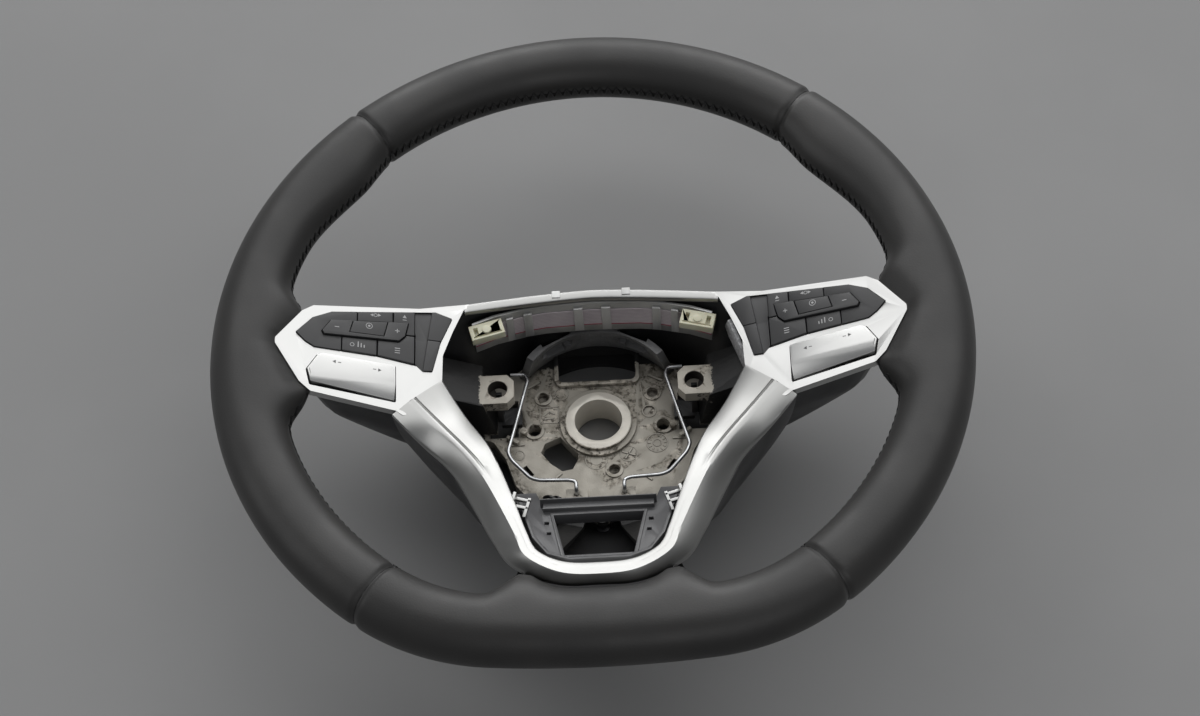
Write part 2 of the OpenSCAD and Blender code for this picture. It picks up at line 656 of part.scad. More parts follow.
// The rear cover: a ring at the back that widens to the outline of the bezel
cover_below = 0.35;
function spoke_rim_point(p) = let(x = p[0] * cos(face_slope))
    [x, p[1], face_z(x) - (skirt_h + cover_below) / cos(face_slope), 0, ease((x - 68) / 22)];
cover_spoke_edge = [[76, 34], [94, 30.6], [116, 28.2], [134, 26.2], [145, 22], [148.5, 12], [149.5, 3],
    [147.5, -8], [144.5, -19], [139, -23], [120, -25.6], [103, -27.8]];
crotch_bulge = 7;
cover_tuck = 0.03;
function cover_top_point(x) =
    [x, bar_y(x) - 0.4, bar_z(x) - bar_t - bar_lip - cover_below, 4 * ease((x - 14) / 30), 0];
arm_halves = smooth_rows(arm_rows, 2);
function cover_arm_point(i) = let(o = arm_outer(arm_halves[i]), in = 1 - cover_tuck * ease((i - 8) / 6))
    [o[0] * in, o[1] * in, o[2] - edge_t - cover_below, crotch_bulge * ease((11 - i) / 6),
        0.5 * ease((i - 8) / 6)];
cover_half = concat([for (x = [0, 14, 28, 42, 55]) cover_top_point(x)],
    [for (p = cover_spoke_edge) spoke_rim_point(p)],
    [for (i = [0, 1, 2, 4, 6, 8, 10, 12, 14, 16]) cover_arm_point(i)]);
cover_edge = concat(cover_half,
    [for (i = [len(cover_half) - 2:-1:1]) let(p = cover_half[i]) [-p[0], p[1], p[2], p[3], p[4]]]);
// Profiles of the cover from the ring (0) to the bezel (1): a plain cone, and a deep shoulder at the spokes
function cone_at(t) = pow(t, 0.7);
function shoulder_at(t) = t > 0.8 ? lerp(0.93, 1, (t - 0.8) / 0.2) : 0.93 * pow(t / 0.8, 0.8);
function cover_point(p, t) =
    let(r = sqrt(p[0] * p[0] + p[1] * p[1]), c = [p[0], p[1]] / r,
        radius = ring_r + (r - ring_r) * lerp(cone_at(t), shoulder_at(t), p[4]) + p[3] * sin(180 * t))
    [c[0] * radius, c[1] * radius, lerp(-ring_back, p[2], t)];
function cover_ring(t) = [for (p = cover_edge) cover_point(p, t)];
function inset_ring(ring, d) = let(n = len(ring)) [for (i = [0:n - 1])
    let(a = ring[(i + n - 1) % n], b = ring[(i + 1) % n], v = unit2([b[0] - a[0], b[1] - a[1]]))
    ring[i] + [v[1] * d, -v[0] * d, 0]];
function flat_ring(r, z) = [for (p = cover_edge) let(l = sqrt(p[0] * p[0] + p[1] * p[1]))
    [p[0] / l * r, p[1] / l * r, z]];
cover_levels = [0.03, 0.15, 0.38, 0.62, 0.8, 0.91, 1];
boss_r = 4.2;
boss_top = -plate_drop - plate_t - 2;
head_r = 3.8;
head_h = 2.5;
head_sink = 0.4;
screw_l = 15.4;
socket_r = 1.9;
module cover_boss() {
    hull() {
        translate([0, 0, -ring_back + cover_t - 0.5]) cylinder(r = boss_r + 0.8, h = 0.5, $fn = 32);
        translate([0, 0, boss_top - 0.6]) cylinder(r = boss_r, h = 0.5, $fn = 32);
    }
}
module rear_cover() {
    color(BLACK_COLOUR) difference() {
        union() {
            skin(concat(
                [flat_ring(ring_r - 1.5, -ring_back)],
                [for (t = cover_levels) cover_ring(t)],
                [for (i = [len(cover_levels) - 1:-1:1]) inset_ring(cover_ring(cover_levels[i]), cover_t)],
                [flat_ring(ring_r - cover_t - 1, -ring_back + cover_t)],
                [flat_ring(ring_open_r, -ring_back + cover_t)],
                [flat_ring(ring_open_r, -ring_back)]), loop = true);
            for (a = screw_angles) rotate([0, 0, a]) translate([screw_circle_r, 0, 0]) cover_boss();
        }
        passages(1);
        for (a = screw_angles) rotate([0, 0, a]) translate([screw_circle_r, 0, -ring_back - 1]) {
            cylinder(r = screw_r + 0.2, h = 20, $fn = 32);
            cylinder(r = head_r + 0.3, h = head_h + 1.4, $fn = 32);
        }
    }
}
module cover_screws() {
    color("dimgray") at_screws() translate([0, 0, -ring_back + head_sink]) difference() {
        union() {
            cylinder(r = head_r, h = head_h - 0.05, $fn = 48);
            cylinder(r = screw_r, h = screw_l, $fn = 48);
        }
        translate([0, 0, -1]) cylinder(r = socket_r, h = 2.6, $fn = 6);
    }
}

// The carrier below the airbag, a sloped tray with a window between the arms
carrier_y = -66;
carrier_z = rim_z - 32;
carrier_tilt = 24.8;
carrier_t = 2;
carrier_edge = [[41, 0], [30, 0], [26.5, -11], [-26.5, -11], [-30, 0], [-41, 0], [-35.5, -23], [-31, -42],
    [-24, -55], [-14, -60], [14, -60], [24, -55], [31, -42], [35.5, -23]];
carrier_window_top = -19.5;
carrier_window_end = -51;
carrier_window_end_w = 32;
module carrier_hole(grow) {
    top = carrier_window_w / 2 + grow;
    end = carrier_window_end_w / 2 + grow;
    polygon([[-top, carrier_window_top + grow], [top, carrier_window_top + grow],
        [end, carrier_window_end - grow], [-end, carrier_window_end - grow]]);
}
module lower_carrier() {
    color(GREY_COLOUR) translate([0, carrier_y, carrier_z]) rotate([-carrier_tilt, 0, 0]) difference() {
        union() {
            slab(-carrier_t, 0) polygon(carrier_edge);
            slab(-5, 0.6) carrier_hole(1.6);
            // The beam across the top and the rim along the sides
            translate([-26.5, -16.5, -carrier_t]) cube([53, 5.5, carrier_t + 2.4]);
            slab(0, 5) difference() {
                polygon(carrier_edge);
                offset(delta = -1.6) polygon(carrier_edge);
                translate([-60, -12]) square([120, 20]);
            }
        }
        slab(-20, 5) carrier_hole(0);
        // Slots for the bezel's hooks
        for (side = [0, 1]) mirror([side, 0, 0]) {
            translate([24, -49, -5]) rotate([0, 0, -14]) cube([1.8, 6, 10]);
            translate([23.6, -26, -5]) cube([2.2, 2.2, 10]);
            translate([22.6, -34, -5]) cube([2, 2, 10]);
        }
    }
}

// The spring wires that lock the airbag, bent from round wire
wire_z = 8.5;
wire_path = [[44.2, 24.5, wire_z], [36.6, 24.3, wire_z], [35.3, 20.6, wire_z], [44.9, -17.1, wire_z],
    [46, -21.3, wire_z], [44.2, -26, wire_z], [34.8, -37, wire_z], [30.6, -38.6, wire_z],
    [15.4, -39.3, wire_z], [pad_x, pad_y + 5.6, wire_z], [pad_x, pad_y + 1, wire_z],
    [pad_x, pad_y + 1, pad_top - 2.9]];
module retaining_wires() {
    color("lightgray") for (side = [0, 1]) mirror([side, 0, 0]) tube(wire_path, wire_r, 10);
}

// The rail behind the top bar, the ribbon cable in front of it and the clips that hold it
rail_half = [[0, 39.4], [24, 38.6], [34, 37.2], [49, 33.6], [60, 29.2]];
rail_t = 1.4;
rail_top = face_z(bar_span) - bar_dip - bar_t - 1.2;
rail_h = 25;
ribbon_gap = 0.15;
strap_t = 1;
function shifted_half(d) = [for (i = [0:len(rail_half) - 1])
    let(a = rail_half[max(i - 1, 0)], b = rail_half[min(i + 1, len(rail_half) - 1)],
        v = i == 0 ? [1, 0] : unit2([b[0] - a[0], b[1] - a[1]]))
    rail_half[i] + [v[1], -v[0]] * d];
function both_sides(half) = concat([for (i = [len(half) - 1:-1:1]) [-half[i][0], half[i][1]]], half);
function reversed(list) = [for (i = [len(list) - 1:-1:0]) list[i]];
module band(a, b, low, high) {
    slab(low, high) polygon(concat(both_sides(shifted_half(a)),
        reversed(both_sides(shifted_half(b)))));
}
ribbon_in = ribbon_gap;
ribbon_out = ribbon_gap + ribbon_t;
strap_in = ribbon_out + ribbon_gap;
ribbon_top = rail_top - 5.5;
// Middle and width of each clip along one half of the rail
rail_clips = [[7, 4.6], [32.4, 4.2], [41.6, 3.6]];
module strap_at(x, w) {
    intersection() {
        union() {
            band(strap_in, strap_in + strap_t, ribbon_top - ribbon_h - 3, ribbon_top + 3);
            band(-0.3, strap_in + 0.4, ribbon_top + 0.3, ribbon_top + 2);
            band(-0.3, strap_in + 0.4, ribbon_top - ribbon_h - 2, ribbon_top - ribbon_h - 0.3);
        }
        translate([x - w / 2, 0, -100]) cube([w, 80, 300]);
    }
}
module cable_rail() {
    color(GREY_COLOUR) {
        band(-rail_t, 0, rail_top - rail_h, rail_top);
        for (side = [0, 1]) mirror([side, 0, 0]) {
            for (c = rail_clips) strap_at(c[0], c[1]);
            // Ledge that carries the connector
            translate([connector_x, connector_y, connector_z - connector_h - ledge_t])
                rotate([0, 0, -connector_turn]) translate([-5, -connector_w / 2 + 1, 0])
                    cube([10, 10.6, ledge_t]);
        }
    }
}
module ribbon_cable() {
    color([0.45, 0.38, 0.42]) band(ribbon_in, ribbon_out, ribbon_top - ribbon_h, ribbon_top);
}

// Cream connectors on the rail's ledges
connector_x = 52.8;
connector_y = 25.8;
connector_z = rim_z - 26.2;
connector_turn = 15;
connector_h = 4.6;
ledge_t = 1.4;
module connector(side) {
    color([0.85, 0.83, 0.7]) mirror([side < 0 ? 1 : 0, 0, 0])
        translate([connector_x, connector_y, connector_z]) rotate([0, 0, -connector_turn]) difference() {
            union() {
                translate([-connector_l / 2, -connector_w / 2, -connector_h])
                    cube([connector_l, connector_w, connector_h]);
                translate([0, 0, -0.4]) cylinder(r = 2.2, h = 1.2, $fn = 48);
            }
            for (x = [-1, 1]) translate([x * 5.4 - 1.1, -2.4, -3]) cube([2.2, 5, 5]);
            translate([-connector_l / 2 + 1.2, -connector_w / 2 + 1, -0.8]) cube([connector_l - 2.4, 0.8, 2]);
        }
}
module connector_left() { connector(-1); }
module connector_right() { connector(1); }

// Two short loops of black wire below the plate's pads
loop_r = 0.9;
loop_path = [[-26, -47, -3], [-27.5, -47.5, 2], [-28, -49, 9], [-25, -51.5, 14], [-21.5, -53.5, 13],
    [-19.5, -54.8, 7], [-21, -56, 3], [-24.5, -57.5, -2]];
function tube_ring(path, i, r, n) = let(last = len(path) - 1,
    d = path[min(i + 1, last)] - path[max(i - 1, 0)], w = d / norm(d),
    u = cross(w, [0.3, 0.95, 0.1]), x = u / norm(u), y = cross(w, x))
    [for (k = [0:n - 1]) path[i] + r * (x * cos(k * 360 / n) + y * sin(k * 360 / n))];
module tube(path, r, n) {
    skin([for (i = [0:len(path) - 1]) tube_ring(path, i, r, n)]);
}
module wire_loop() {
    route = smooth_rows(loop_path, 3);
    color(BLACK_COLOUR) {
        tube(route, loop_r, 8);
        tube([for (p = route) [p[0] * 0.8 - 1.2, p[1] + 0.4, p[2] * 0.9 - 0.4]], loop_r, 8);
    }
}

// Black clips whose prongs show through the lugs
clip_top = lug_top - lug_t - 1;
module lug_clip(side) {
    color(BLACK_COLOUR) mirror([side < 0 ? 1 : 0, 0, 0]) translate([lug_x, lug_y, 0]) {
        translate([-10.5, -5, -plate_drop]) cube([10.3, 10, 3]);
        for (y = [-1, 1]) translate([-1.5, y * 2.4 - 0.7, -plate_drop + 3 - eps])
            cube([3, 1.4, clip_top + plate_drop - 3]);
    }
}
module lug_clip_left() { lug_clip(-1); }
module lug_clip_right() { lug_clip(1); }

// A flat module that stands against the right side of the airbag's cavity
module side_module() {
    color([0.55, 0.55, 0.56]) translate([68.2, 27, 37]) rotate([0, 0, -72]) rotate([90, 0, 0])
        linear_extrude(height = 2) polygon([[0, 4], [6, 2], [25, 2], [31, 8], [22, 15], [4, 15.4]]);
}

// Switch housings, boards and rubber mats behind the keys
housing_floor = -11.4;
board_t = 1.6;
mat_t = 2;
base_t = 2;
base_top = -key_depth - key_travel - 0.4;
mat_top = base_top - base_t;
board_top = mat_top - mat_t;
dome_r = 2;
rocker_u = 123;
rocker_pin_w = -5.5;
ear_t = 1.6;
ear_low_v = -17.3;
ear_high_v = -2.6;
dome_gap = 0.2;
housing_wall = 1.6;
domes = [[98.5, 22.6], [112, 21.3], [98, 6], [119, 5], [115.5, 15.8], [102, 15.5], [131.5, 13.2]];
rocker_domes = [[109, -13.5], [137, -12]];
housing_step = 1.5;
module deck(gap) {
    offset(delta = -housing_step - housing_wall - gap) polygon(housing_edge);
}
module ear_bay() {
    translate([rocker_u - 4, -26]) square([8, 25.4]);
}
module switch_housing(side) {
    color(BLACK_COLOUR) spoke_frame(side) {
        difference() {
            union() {
                slab(housing_floor, -bezel_t - touch_gap) offset(delta = -housing_step) polygon(housing_edge);
                slab(mat_top, -bezel_t - touch_gap) polygon(housing_edge);
            }
            slab(board_top - board_t, 0) deck(0);
            slab(mat_top, 0) offset(delta = -housing_wall) polygon(housing_edge);
            slab(base_top - 0.05, 0) offset(delta = 0.7) pad_shape();
            slab(-bezel_t - 1.4, 0) offset(delta = 1.2) rocker_shape();
        }
        // Ears with bores for the rocker's pins
        for (v = [ear_low_v, ear_high_v - ear_t]) difference() {
            translate([rocker_u - 3, v, board_top - board_t - 0.5])
                cube([6, ear_t, rocker_pin_w + 2.2 - board_top + board_t + 0.5]);
            translate([rocker_u, v - 1, rocker_pin_w]) rotate([-90, 0, 0])
                cylinder(r = rocker_pin_r + pin_clear, h = ear_t + 2, $fn = 48);
        }
    }
}
module switch_board(side) {
    color([0.1, 0.3, 0.16]) spoke_frame(side) slab(board_top - board_t, board_top) difference() {
        deck(0.2);
        ear_bay();
    }
}
module dome_mat(side) {
    color([0.85, 0.85, 0.86]) spoke_frame(side) {
        slab(board_top, mat_top) difference() {
            deck(0.2);
            ear_bay();
        }
        intersection() {
            union() {
                for (p = domes) translate([p[0], p[1], mat_top - eps])
                    cylinder(r = dome_r, h = base_top + dome_gap - mat_top + eps, $fn = 48);
                for (p = rocker_domes) translate([p[0], p[1], mat_top - eps])
                    cylinder(r = dome_r, h = 1.1, $fn = 48);
            }
            slab(mat_top - 1, 0) deck(0.2);
        }
    }
}
module switch_housing_left() { switch_housing(-1); }
module switch_housing_right() { switch_housing(1); }
module switch_board_left() { switch_board(-1); }
module switch_board_right() { switch_board(1); }
module dome_mat_left() { dome_mat(-1); }
module dome_mat_right() { dome_mat(1); }

// The fixed frame of the key pad: base, tip, end column and the blank keys on it
// The ridges stand a little beyond the split of the lower keys
ridge_past_split = 6;
bar_u = lower_split_u + ridge_past_split;
ridge_r = 0.6;
ridge_l = 0.7;
ridge_rows = [9.9, 18.9];
bar_pivot_w = -key_depth - 0.05 - ridge_r;
module key_frame(side) {
    color(KEY_COLOUR) spoke_frame(side) {
        difference() {
            slab(mat_top, base_top) intersection() {
                offset(delta = -housing_wall - 0.3) polygon(housing_edge);
                translate([60, 0.6]) square([100, 60]);
            }
            for (p = domes) translate([p[0], p[1], mat_top - 1])
                cylinder(r = dome_r + 0.4, h = base_t + 2, $fn = 48);
        }
        // Tip with its blank keys
        difference() {
            slab(-bezel_t, key_h - 0.2) intersection() {
                pad_shape();
                translate([upper_tip_u + key_gap / 2, -10]) square([60, 50]);
            }
            slab(-10, 10) offset(delta = key_gap) bar_shape();
            slab(-10, 10) translate([upper_tip_u - 5, -10])
                square([lower_tip_u + key_gap / 2 - upper_tip_u + 5, 10 + key_split_v - 4]);
        }
        slab(base_top - eps, -bezel_t + eps) intersection() {
            pad_shape();
            offset(delta = -housing_wall - 0.3) polygon(housing_edge);
            translate([lower_tip_u + 1.5, 1]) square([12, 7.2]);
        }
        // End column with its groove
        slab(base_top - eps, -0.8) intersection() {
            pad_shape();
            offset(delta = -housing_wall - 0.3) polygon(housing_edge);
            translate([60, 1]) square([inner_key_u - key_gap / 2 - 60, 50]);
        }
        slab(-bezel_t, -0.8) intersection() {
            pad_shape();
            translate([60, -10]) square([inner_key_u - key_gap / 2 - 60, 50]);
        }
        slab(-0.8 - eps, key_h - 0.2) difference() {
            intersection() {
                pad_shape();
                translate([60, -10]) square([inner_key_u - key_gap / 2 - 60, 50]);
            }
            polygon(groove_edge);
            translate([60, end_split_v - 0.25]) square([40, 0.5]);
        }
        // Round-topped ridges that the rocking bar tilts on
        for (v = ridge_rows) {
            translate([bar_u - ridge_r, v, base_top - 0.5])
                cube([2 * ridge_r, ridge_l, bar_pivot_w - base_top + 0.5]);
            translate([bar_u, v, bar_pivot_w]) rotate([-90, 0, 0])
                cylinder(r = ridge_r, h = ridge_l, $fn = 48);
        }
    }
}
module key_frame_left() { key_frame(-1); }
module key_frame_right() { key_frame(1); }

// A push key: the part of the pad between two cuts, above or below the bar
module push_key(side, from_u, to_u, upper) {
    color(KEY_COLOUR) spoke_frame(side) slab(-key_depth, key_h) difference() {
        intersection() {
            pad_shape();
            translate([from_u + key_gap / 2, upper ? key_split_v + key_gap / 2 : -20])
                square([to_u - from_u - key_gap, upper ? 40 : 20 + key_split_v - key_gap / 2]);
        }
        offset(delta = key_gap) bar_shape();
    }
}
module upper_key_left() { push_key(-1, upper_split_u, upper_tip_u, true); }
module upper_key_right() { push_key(1, upper_split_u, upper_tip_u, true); }
module upper_inner_key_left() { push_key(-1, inner_key_u, upper_split_u, true); }
module upper_inner_key_right() { push_key(1, inner_key_u, upper_split_u, true); }
module lower_key_left() { push_key(-1, lower_split_u, lower_tip_u, false); }
module lower_key_right() { push_key(1, lower_split_u, lower_tip_u, false); }
module lower_inner_key_left() { push_key(-1, inner_key_u, lower_split_u, false); }
module lower_inner_key_right() { push_key(1, inner_key_u, lower_split_u, false); }

// The raised bar rocks on its ridges, and the centre key slides in its window
web_top = -1.8;
centre_stem = [115.5, 15.8];
centre_stem_r = 2.2;
module rocking_bar(side) {
    color(KEY_COLOUR) spoke_frame(side) {
        slab(-key_depth, web_top) difference() {
            bar_shape();
            translate(centre_stem) circle(r = centre_stem_r + 0.6, $fn = 48);
        }
        slab(web_top - eps, bar_h) difference() {
            bar_shape();
            offset(delta = key_gap) polygon(centre_edge);
        }
    }
}
module centre_key(side) {
    color(KEY_COLOUR) spoke_frame(side) {
        slab(web_top + 0.8, bar_h - 0.2) intersection() {
            bar_shape();
            polygon(centre_edge);
        }
        translate([centre_stem[0], centre_stem[1], -key_depth])
            cylinder(r = centre_stem_r, h = key_depth, $fn = 48);
    }
}
module rocking_bar_left() { rocking_bar(-1); }
module rocking_bar_right() { rocking_bar(1); }
module centre_key_left() { centre_key(-1); }
module centre_key_right() { centre_key(1); }

// The silver rocker below the pad, on two pins in the housing's ears
rocker_bevel = 0.8;
rocker_foot_gap = 1.6;
rocker_front_v = -13.6;
rocker_front_drop = 4.2;
rocker_top_edge = [for (i = [0:len(rocker_edge) - 1]) rocker_edge[i] + [0, i > 3 ? rocker_foot_gap : 0]];
module rocker_cap() {
    difference() {
        union() {
            slab(-bezel_t + 0.2, rocker_h - rocker_bevel) polygon(rocker_top_edge);
            slab(rocker_h - rocker_bevel - eps, rocker_h)
                offset(delta = -rocker_bevel) polygon(rocker_top_edge);
        }
        // The front face slopes down below a straight break line
        translate([0, rocker_front_v, rocker_h]) rotate([0, 90, 0]) linear_extrude(height = 300)
            polygon([[0, 0], [rocker_front_drop, -9], [rocker_front_drop, -30], [-9, -30], [-9, 0]]);
    }
}
module silver_rocker(side) {
    color(SILVER_COLOUR) spoke_frame(side) {
        rocker_cap();
        translate([rocker_u - 2, ear_low_v + ear_t + 0.3, rocker_pin_w - 1.6])
            cube([4, ear_high_v - ear_low_v - 2 * ear_t - 0.6, -bezel_t + 0.4 - rocker_pin_w + 1.6]);
        translate([rocker_u, ear_low_v, rocker_pin_w]) rotate([-90, 0, 0])
            cylinder(r = rocker_pin_r, h = ear_high_v - ear_low_v, $fn = 48);
    }
}
module silver_rocker_left() { silver_rocker(-1); }
module silver_rocker_right() { silver_rocker(1); }

armature();
rim_foam();
hub_foam();
leather_top();
leather_left();
leather_right();
leather_bottom();
bezel();
rear_cover();
cover_screws();
lower_carrier();
retaining_wires();
cable_rail();
ribbon_cable();
connector_left();
connector_right();
wire_loop();
lug_clip_left();
lug_clip_right();
side_module();
switch_housing_left();
switch_housing_right();
switch_board_left();
switch_board_right();
dome_mat_left();
dome_mat_right();
key_frame_left();
key_frame_right();
upper_key_left();
upper_key_right();
upper_inner_key_left();
upper_inner_key_right();
lower_key_left();
lower_key_right();
lower_inner_key_left();
lower_inner_key_right();
rocking_bar_left();
rocking_bar_right();
centre_key_left();
centre_key_right();
silver_rocker_left();
silver_rocker_right();
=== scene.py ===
import math

import bpy
from mathutils import Matrix, Vector


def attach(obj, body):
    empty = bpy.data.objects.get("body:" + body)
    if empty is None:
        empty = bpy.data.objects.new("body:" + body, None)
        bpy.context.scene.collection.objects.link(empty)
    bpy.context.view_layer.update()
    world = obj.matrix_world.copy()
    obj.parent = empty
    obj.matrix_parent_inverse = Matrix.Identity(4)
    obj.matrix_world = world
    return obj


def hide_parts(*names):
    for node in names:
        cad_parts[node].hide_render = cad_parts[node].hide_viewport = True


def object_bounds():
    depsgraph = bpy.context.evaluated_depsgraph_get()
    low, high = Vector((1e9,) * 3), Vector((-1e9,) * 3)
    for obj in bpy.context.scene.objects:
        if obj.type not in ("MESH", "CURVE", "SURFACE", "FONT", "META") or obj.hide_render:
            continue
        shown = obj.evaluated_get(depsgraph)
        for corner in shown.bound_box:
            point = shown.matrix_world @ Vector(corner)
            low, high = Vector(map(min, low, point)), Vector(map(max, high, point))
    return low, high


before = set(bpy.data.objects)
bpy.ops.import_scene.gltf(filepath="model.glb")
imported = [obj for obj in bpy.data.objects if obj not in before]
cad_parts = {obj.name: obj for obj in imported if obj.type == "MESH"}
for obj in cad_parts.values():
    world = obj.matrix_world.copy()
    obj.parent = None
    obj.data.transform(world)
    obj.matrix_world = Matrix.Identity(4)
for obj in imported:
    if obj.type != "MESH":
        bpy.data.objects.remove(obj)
cad_low, cad_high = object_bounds()

# Sizes below are in millimetres, as in the part's source, and MM turns them into metres
MM = 0.001
BODY = "wheel"
SIDES = (("right", 1), ("left", -1))

# The rim's middle line and section
RIM_Z = 76.5
HALF_W = 16.0
HALF_H = 15.0
MAIN_R = 169.0
CORNER_R = 102.0
ARC_R = 554.0
BOTTOM_Y = 157.0
ARC_Y = ARC_R - BOTTOM_Y
SEAM_ANGLE = 50.0
SEAM_GAP = 0.5
LEATHER_T = 1.2
GRIP_EXTRA = 1.5
THUMB_REST = 4.5
SECTION_POINTS = 44
SLIT_HALF = 0.6

# The bezel: its spoke faces rise outwards
FACE_RISE = 0.34
SLOPE = math.atan(FACE_RISE)
FACE_Z = RIM_Z - 20 - 67 * FACE_RISE
FACE_Y = 20.4
BEZEL_T = 2.4
WALL_T = 1.8
EDGE_T = 1.6
SKIRT_H = 4.0
ARM_DROP = 10.0
PLATE_DROP = 4.0
OPENING_WALL_H = 9.0
KEY_TOP = 1.0
ROCKING_TOP = 2.0
ROCKER_TOP = 2.2

# The leather's web at the spokes' roots, between two directions in degrees, and at the bridge
WEB = 11.0
WEB_TOP = 11.6
WEB_FOOT = -13.0
BOTTOM_TOE = 8.0
TIP_EDGE = [
    (120, 29), (135.5, 25.9), (140.5, 22), (152.3, 4.6), (152.3, 1.6), (140.6, -18.6), (135.4, -23.4),
    (120, -25.8),
]

# The thin bar over the airbag's space, and the cover's gap below what it meets
BAR_SPAN = 63.4
BAR_Y = 44.8
BAR_FALL = 6.4
BAR_H = 3.8
COVER_GAP = 0.35
COVER_BACK = -22
RING_R = 60

# The lugs of the casting beside the hub
LUG_X = 49.6
LUG_Y = 5.3

# Where the rim's main arc turns into its corners, and these into the flat bottom
inner_reach = MAIN_R - CORNER_R
arc_reach = ARC_R - CORNER_R
corner_y = (inner_reach**2 - arc_reach**2 + ARC_Y**2) / (2 * ARC_Y)
corner_x = math.sqrt(inner_reach**2 - corner_y**2)
CORNER_START = math.degrees(math.atan2(corner_y, corner_x))
CORNER_END = math.degrees(math.atan2(corner_y - ARC_Y, corner_x))


# Small sums


def lerp(a, b, t):
    return a + (b - a) * t


def clamp(t):
    return min(max(t, 0.0), 1.0)


def ease(t):
    c = clamp(t)
    return c * c * (3 - 2 * c)


def dip(distance, width):
    return math.exp(-((distance / width) ** 2))


def curve(a, b, c, d, t):
    return 0.5 * (2 * b + (c - a) * t + (2 * a - 5 * b + 4 * c - d) * t**2 + (3 * b - a - 3 * c + d) * t**3)


def smooth_rows(rows, steps):
    """A finer list of rows along a smooth curve through the given ones."""
    out = []
    last = len(rows) - 1
    for i in range(last):
        a, b, c, d = rows[max(i - 1, 0)], rows[i], rows[i + 1], rows[min(i + 2, last)]
        for s in range(steps):
            out.append([curve(a[k], b[k], c[k], d[k], s / steps) for k in range(len(b))])
    return [*out, list(rows[last])]


# The rim


def rim_half_point(n):
    """The middle line on the right half, from the main arc over the corner to the bottom's arc."""
    c, s = math.cos(math.radians(n)), math.sin(math.radians(n))
    if n >= CORNER_START:
        return MAIN_R * c, MAIN_R * s
    if n >= CORNER_END:
        return corner_x + CORNER_R * c, corner_y + CORNER_R * s
    return ARC_R * c, ARC_Y + ARC_R * s


def rim_point(n):
    """The rim's middle line where its outward direction is at angle n, in degrees."""
    if n > 90:
        x, y = rim_half_point(180 - n)
        return -x, y
    if n < -90:
        x, y = rim_half_point(-180 - n)
        return -x, y
    return rim_half_point(n)


def side_angle(n):
    """The direction mirrored to the right half."""
    return 180 - n if n > 90 else -180 - n if n < -90 else n


def face_z(x):
    """Height of the spoke faces."""
    return FACE_Z + FACE_RISE * abs(x)


def inner_half(n):
    """Half width of the rim on its inside, with the grip, the thumb rests and the spokes' roots."""
    s = side_angle(n)
    peak, end = SEAM_ANGLE - 9, SEAM_ANGLE - 26
    start = SEAM_ANGLE + 1
    thumb = ease((start - s) / (start - peak)) if s > peak else ease((s - end) / (peak - end))
    root = 1 - ease(abs(s + 3) / 13)
    web = WEB / (1 + math.exp((s - WEB_TOP) / 1.3)) / (1 + math.exp((WEB_FOOT - s) / 1.3))
    across = abs(rim_point(n)[0])
    bottom = ease((54 - across) / 20) if s < CORNER_START else 0
    toe = BOTTOM_TOE * dip(across - 37, 11) if s < CORNER_START else 0
    rest = GRIP_EXTRA * ease((30 - s) / 40) + THUMB_REST * thumb
    return HALF_W + rest + 5 * root + web + 3.8 * bottom + toe


def away_from(outline, x, y):
    """Distance from a point to an outline, below zero inside it."""
    nearest, inside = 1e9, False
    for (ax, ay), (bx, by) in zip(outline, outline[1:] + outline[:1]):
        t = clamp(((x - ax) * (bx - ax) + (y - ay) * (by - ay)) / ((bx - ax) ** 2 + (by - ay) ** 2))
        nearest = min(nearest, math.hypot(x - ax - t * (bx - ax), y - ay - t * (by - ay)))
        if (ay > y) != (by > y) and x < ax + (y - ay) * (bx - ax) / (by - ay):
            inside = not inside
    return -nearest if inside else nearest


def lower_of(a, b, blend):
    """The smaller of two heights, with a soft change between them."""
    t = clamp(0.5 + 0.5 * (b - a) / blend)
    return lerp(b, a, t) - blend * t * (1 - t)


def section_point(n, phi, shrink):
    """A point of the rim's surface: phi runs round the section from the outside, 0, over the top."""
    x0, y0 = rim_point(n)
    s = side_angle(n)
    cos_n, sin_n = math.cos(math.radians(n)), math.sin(math.radians(n))
    cos_p, sin_p = math.cos(math.radians(phi)), math.sin(math.radians(phi))
    half = (HALF_W if cos_p > 0 else inner_half(n)) - shrink
    x, y = x0 + half * cos_p * cos_n, y0 + half * cos_p * sin_n
    z = (HALF_H - shrink) * sin_p
    if z > 0 and abs(s + 1) < 20:
        # Round the spoke's tip the leather runs down to the bezel and stays under it
        away = away_from(TIP_EDGE, abs(x), y)
        limit = face_z(x) - 1.0 - 4.6 * ease(-away / 3) + 0.6 * max(away, 0) - RIM_Z - 0.4 * shrink
        z = lower_of(z, limit, 2.0)
    return Vector((x, y, RIM_Z + z)) * MM


# Making meshes


def deselect():
    if bpy.context.mode != "OBJECT":
        bpy.ops.object.mode_set(mode="OBJECT")
    bpy.ops.object.select_all(action="DESELECT")


def choose(piece):
    deselect()
    piece.select_set(True)
    bpy.context.view_layer.objects.active = piece


def mesh_piece(name, points, faces):
    mesh = bpy.data.meshes.new(name)
    mesh.from_pydata([tuple(p) for p in points], [], faces)
    mesh.validate()
    piece = bpy.data.objects.new(name, mesh)
    bpy.context.scene.collection.objects.link(piece)
    return piece


def outward(piece):
    """Merges doubled points and turns every face outwards."""
    choose(piece)
    bpy.ops.object.mode_set(mode="EDIT")
    bpy.ops.mesh.select_all(action="SELECT")
    bpy.ops.mesh.remove_doubles(threshold=1e-6)
    bpy.ops.mesh.normals_make_consistent(inside=False)
    bpy.ops.object.mode_set(mode="OBJECT")
    return piece


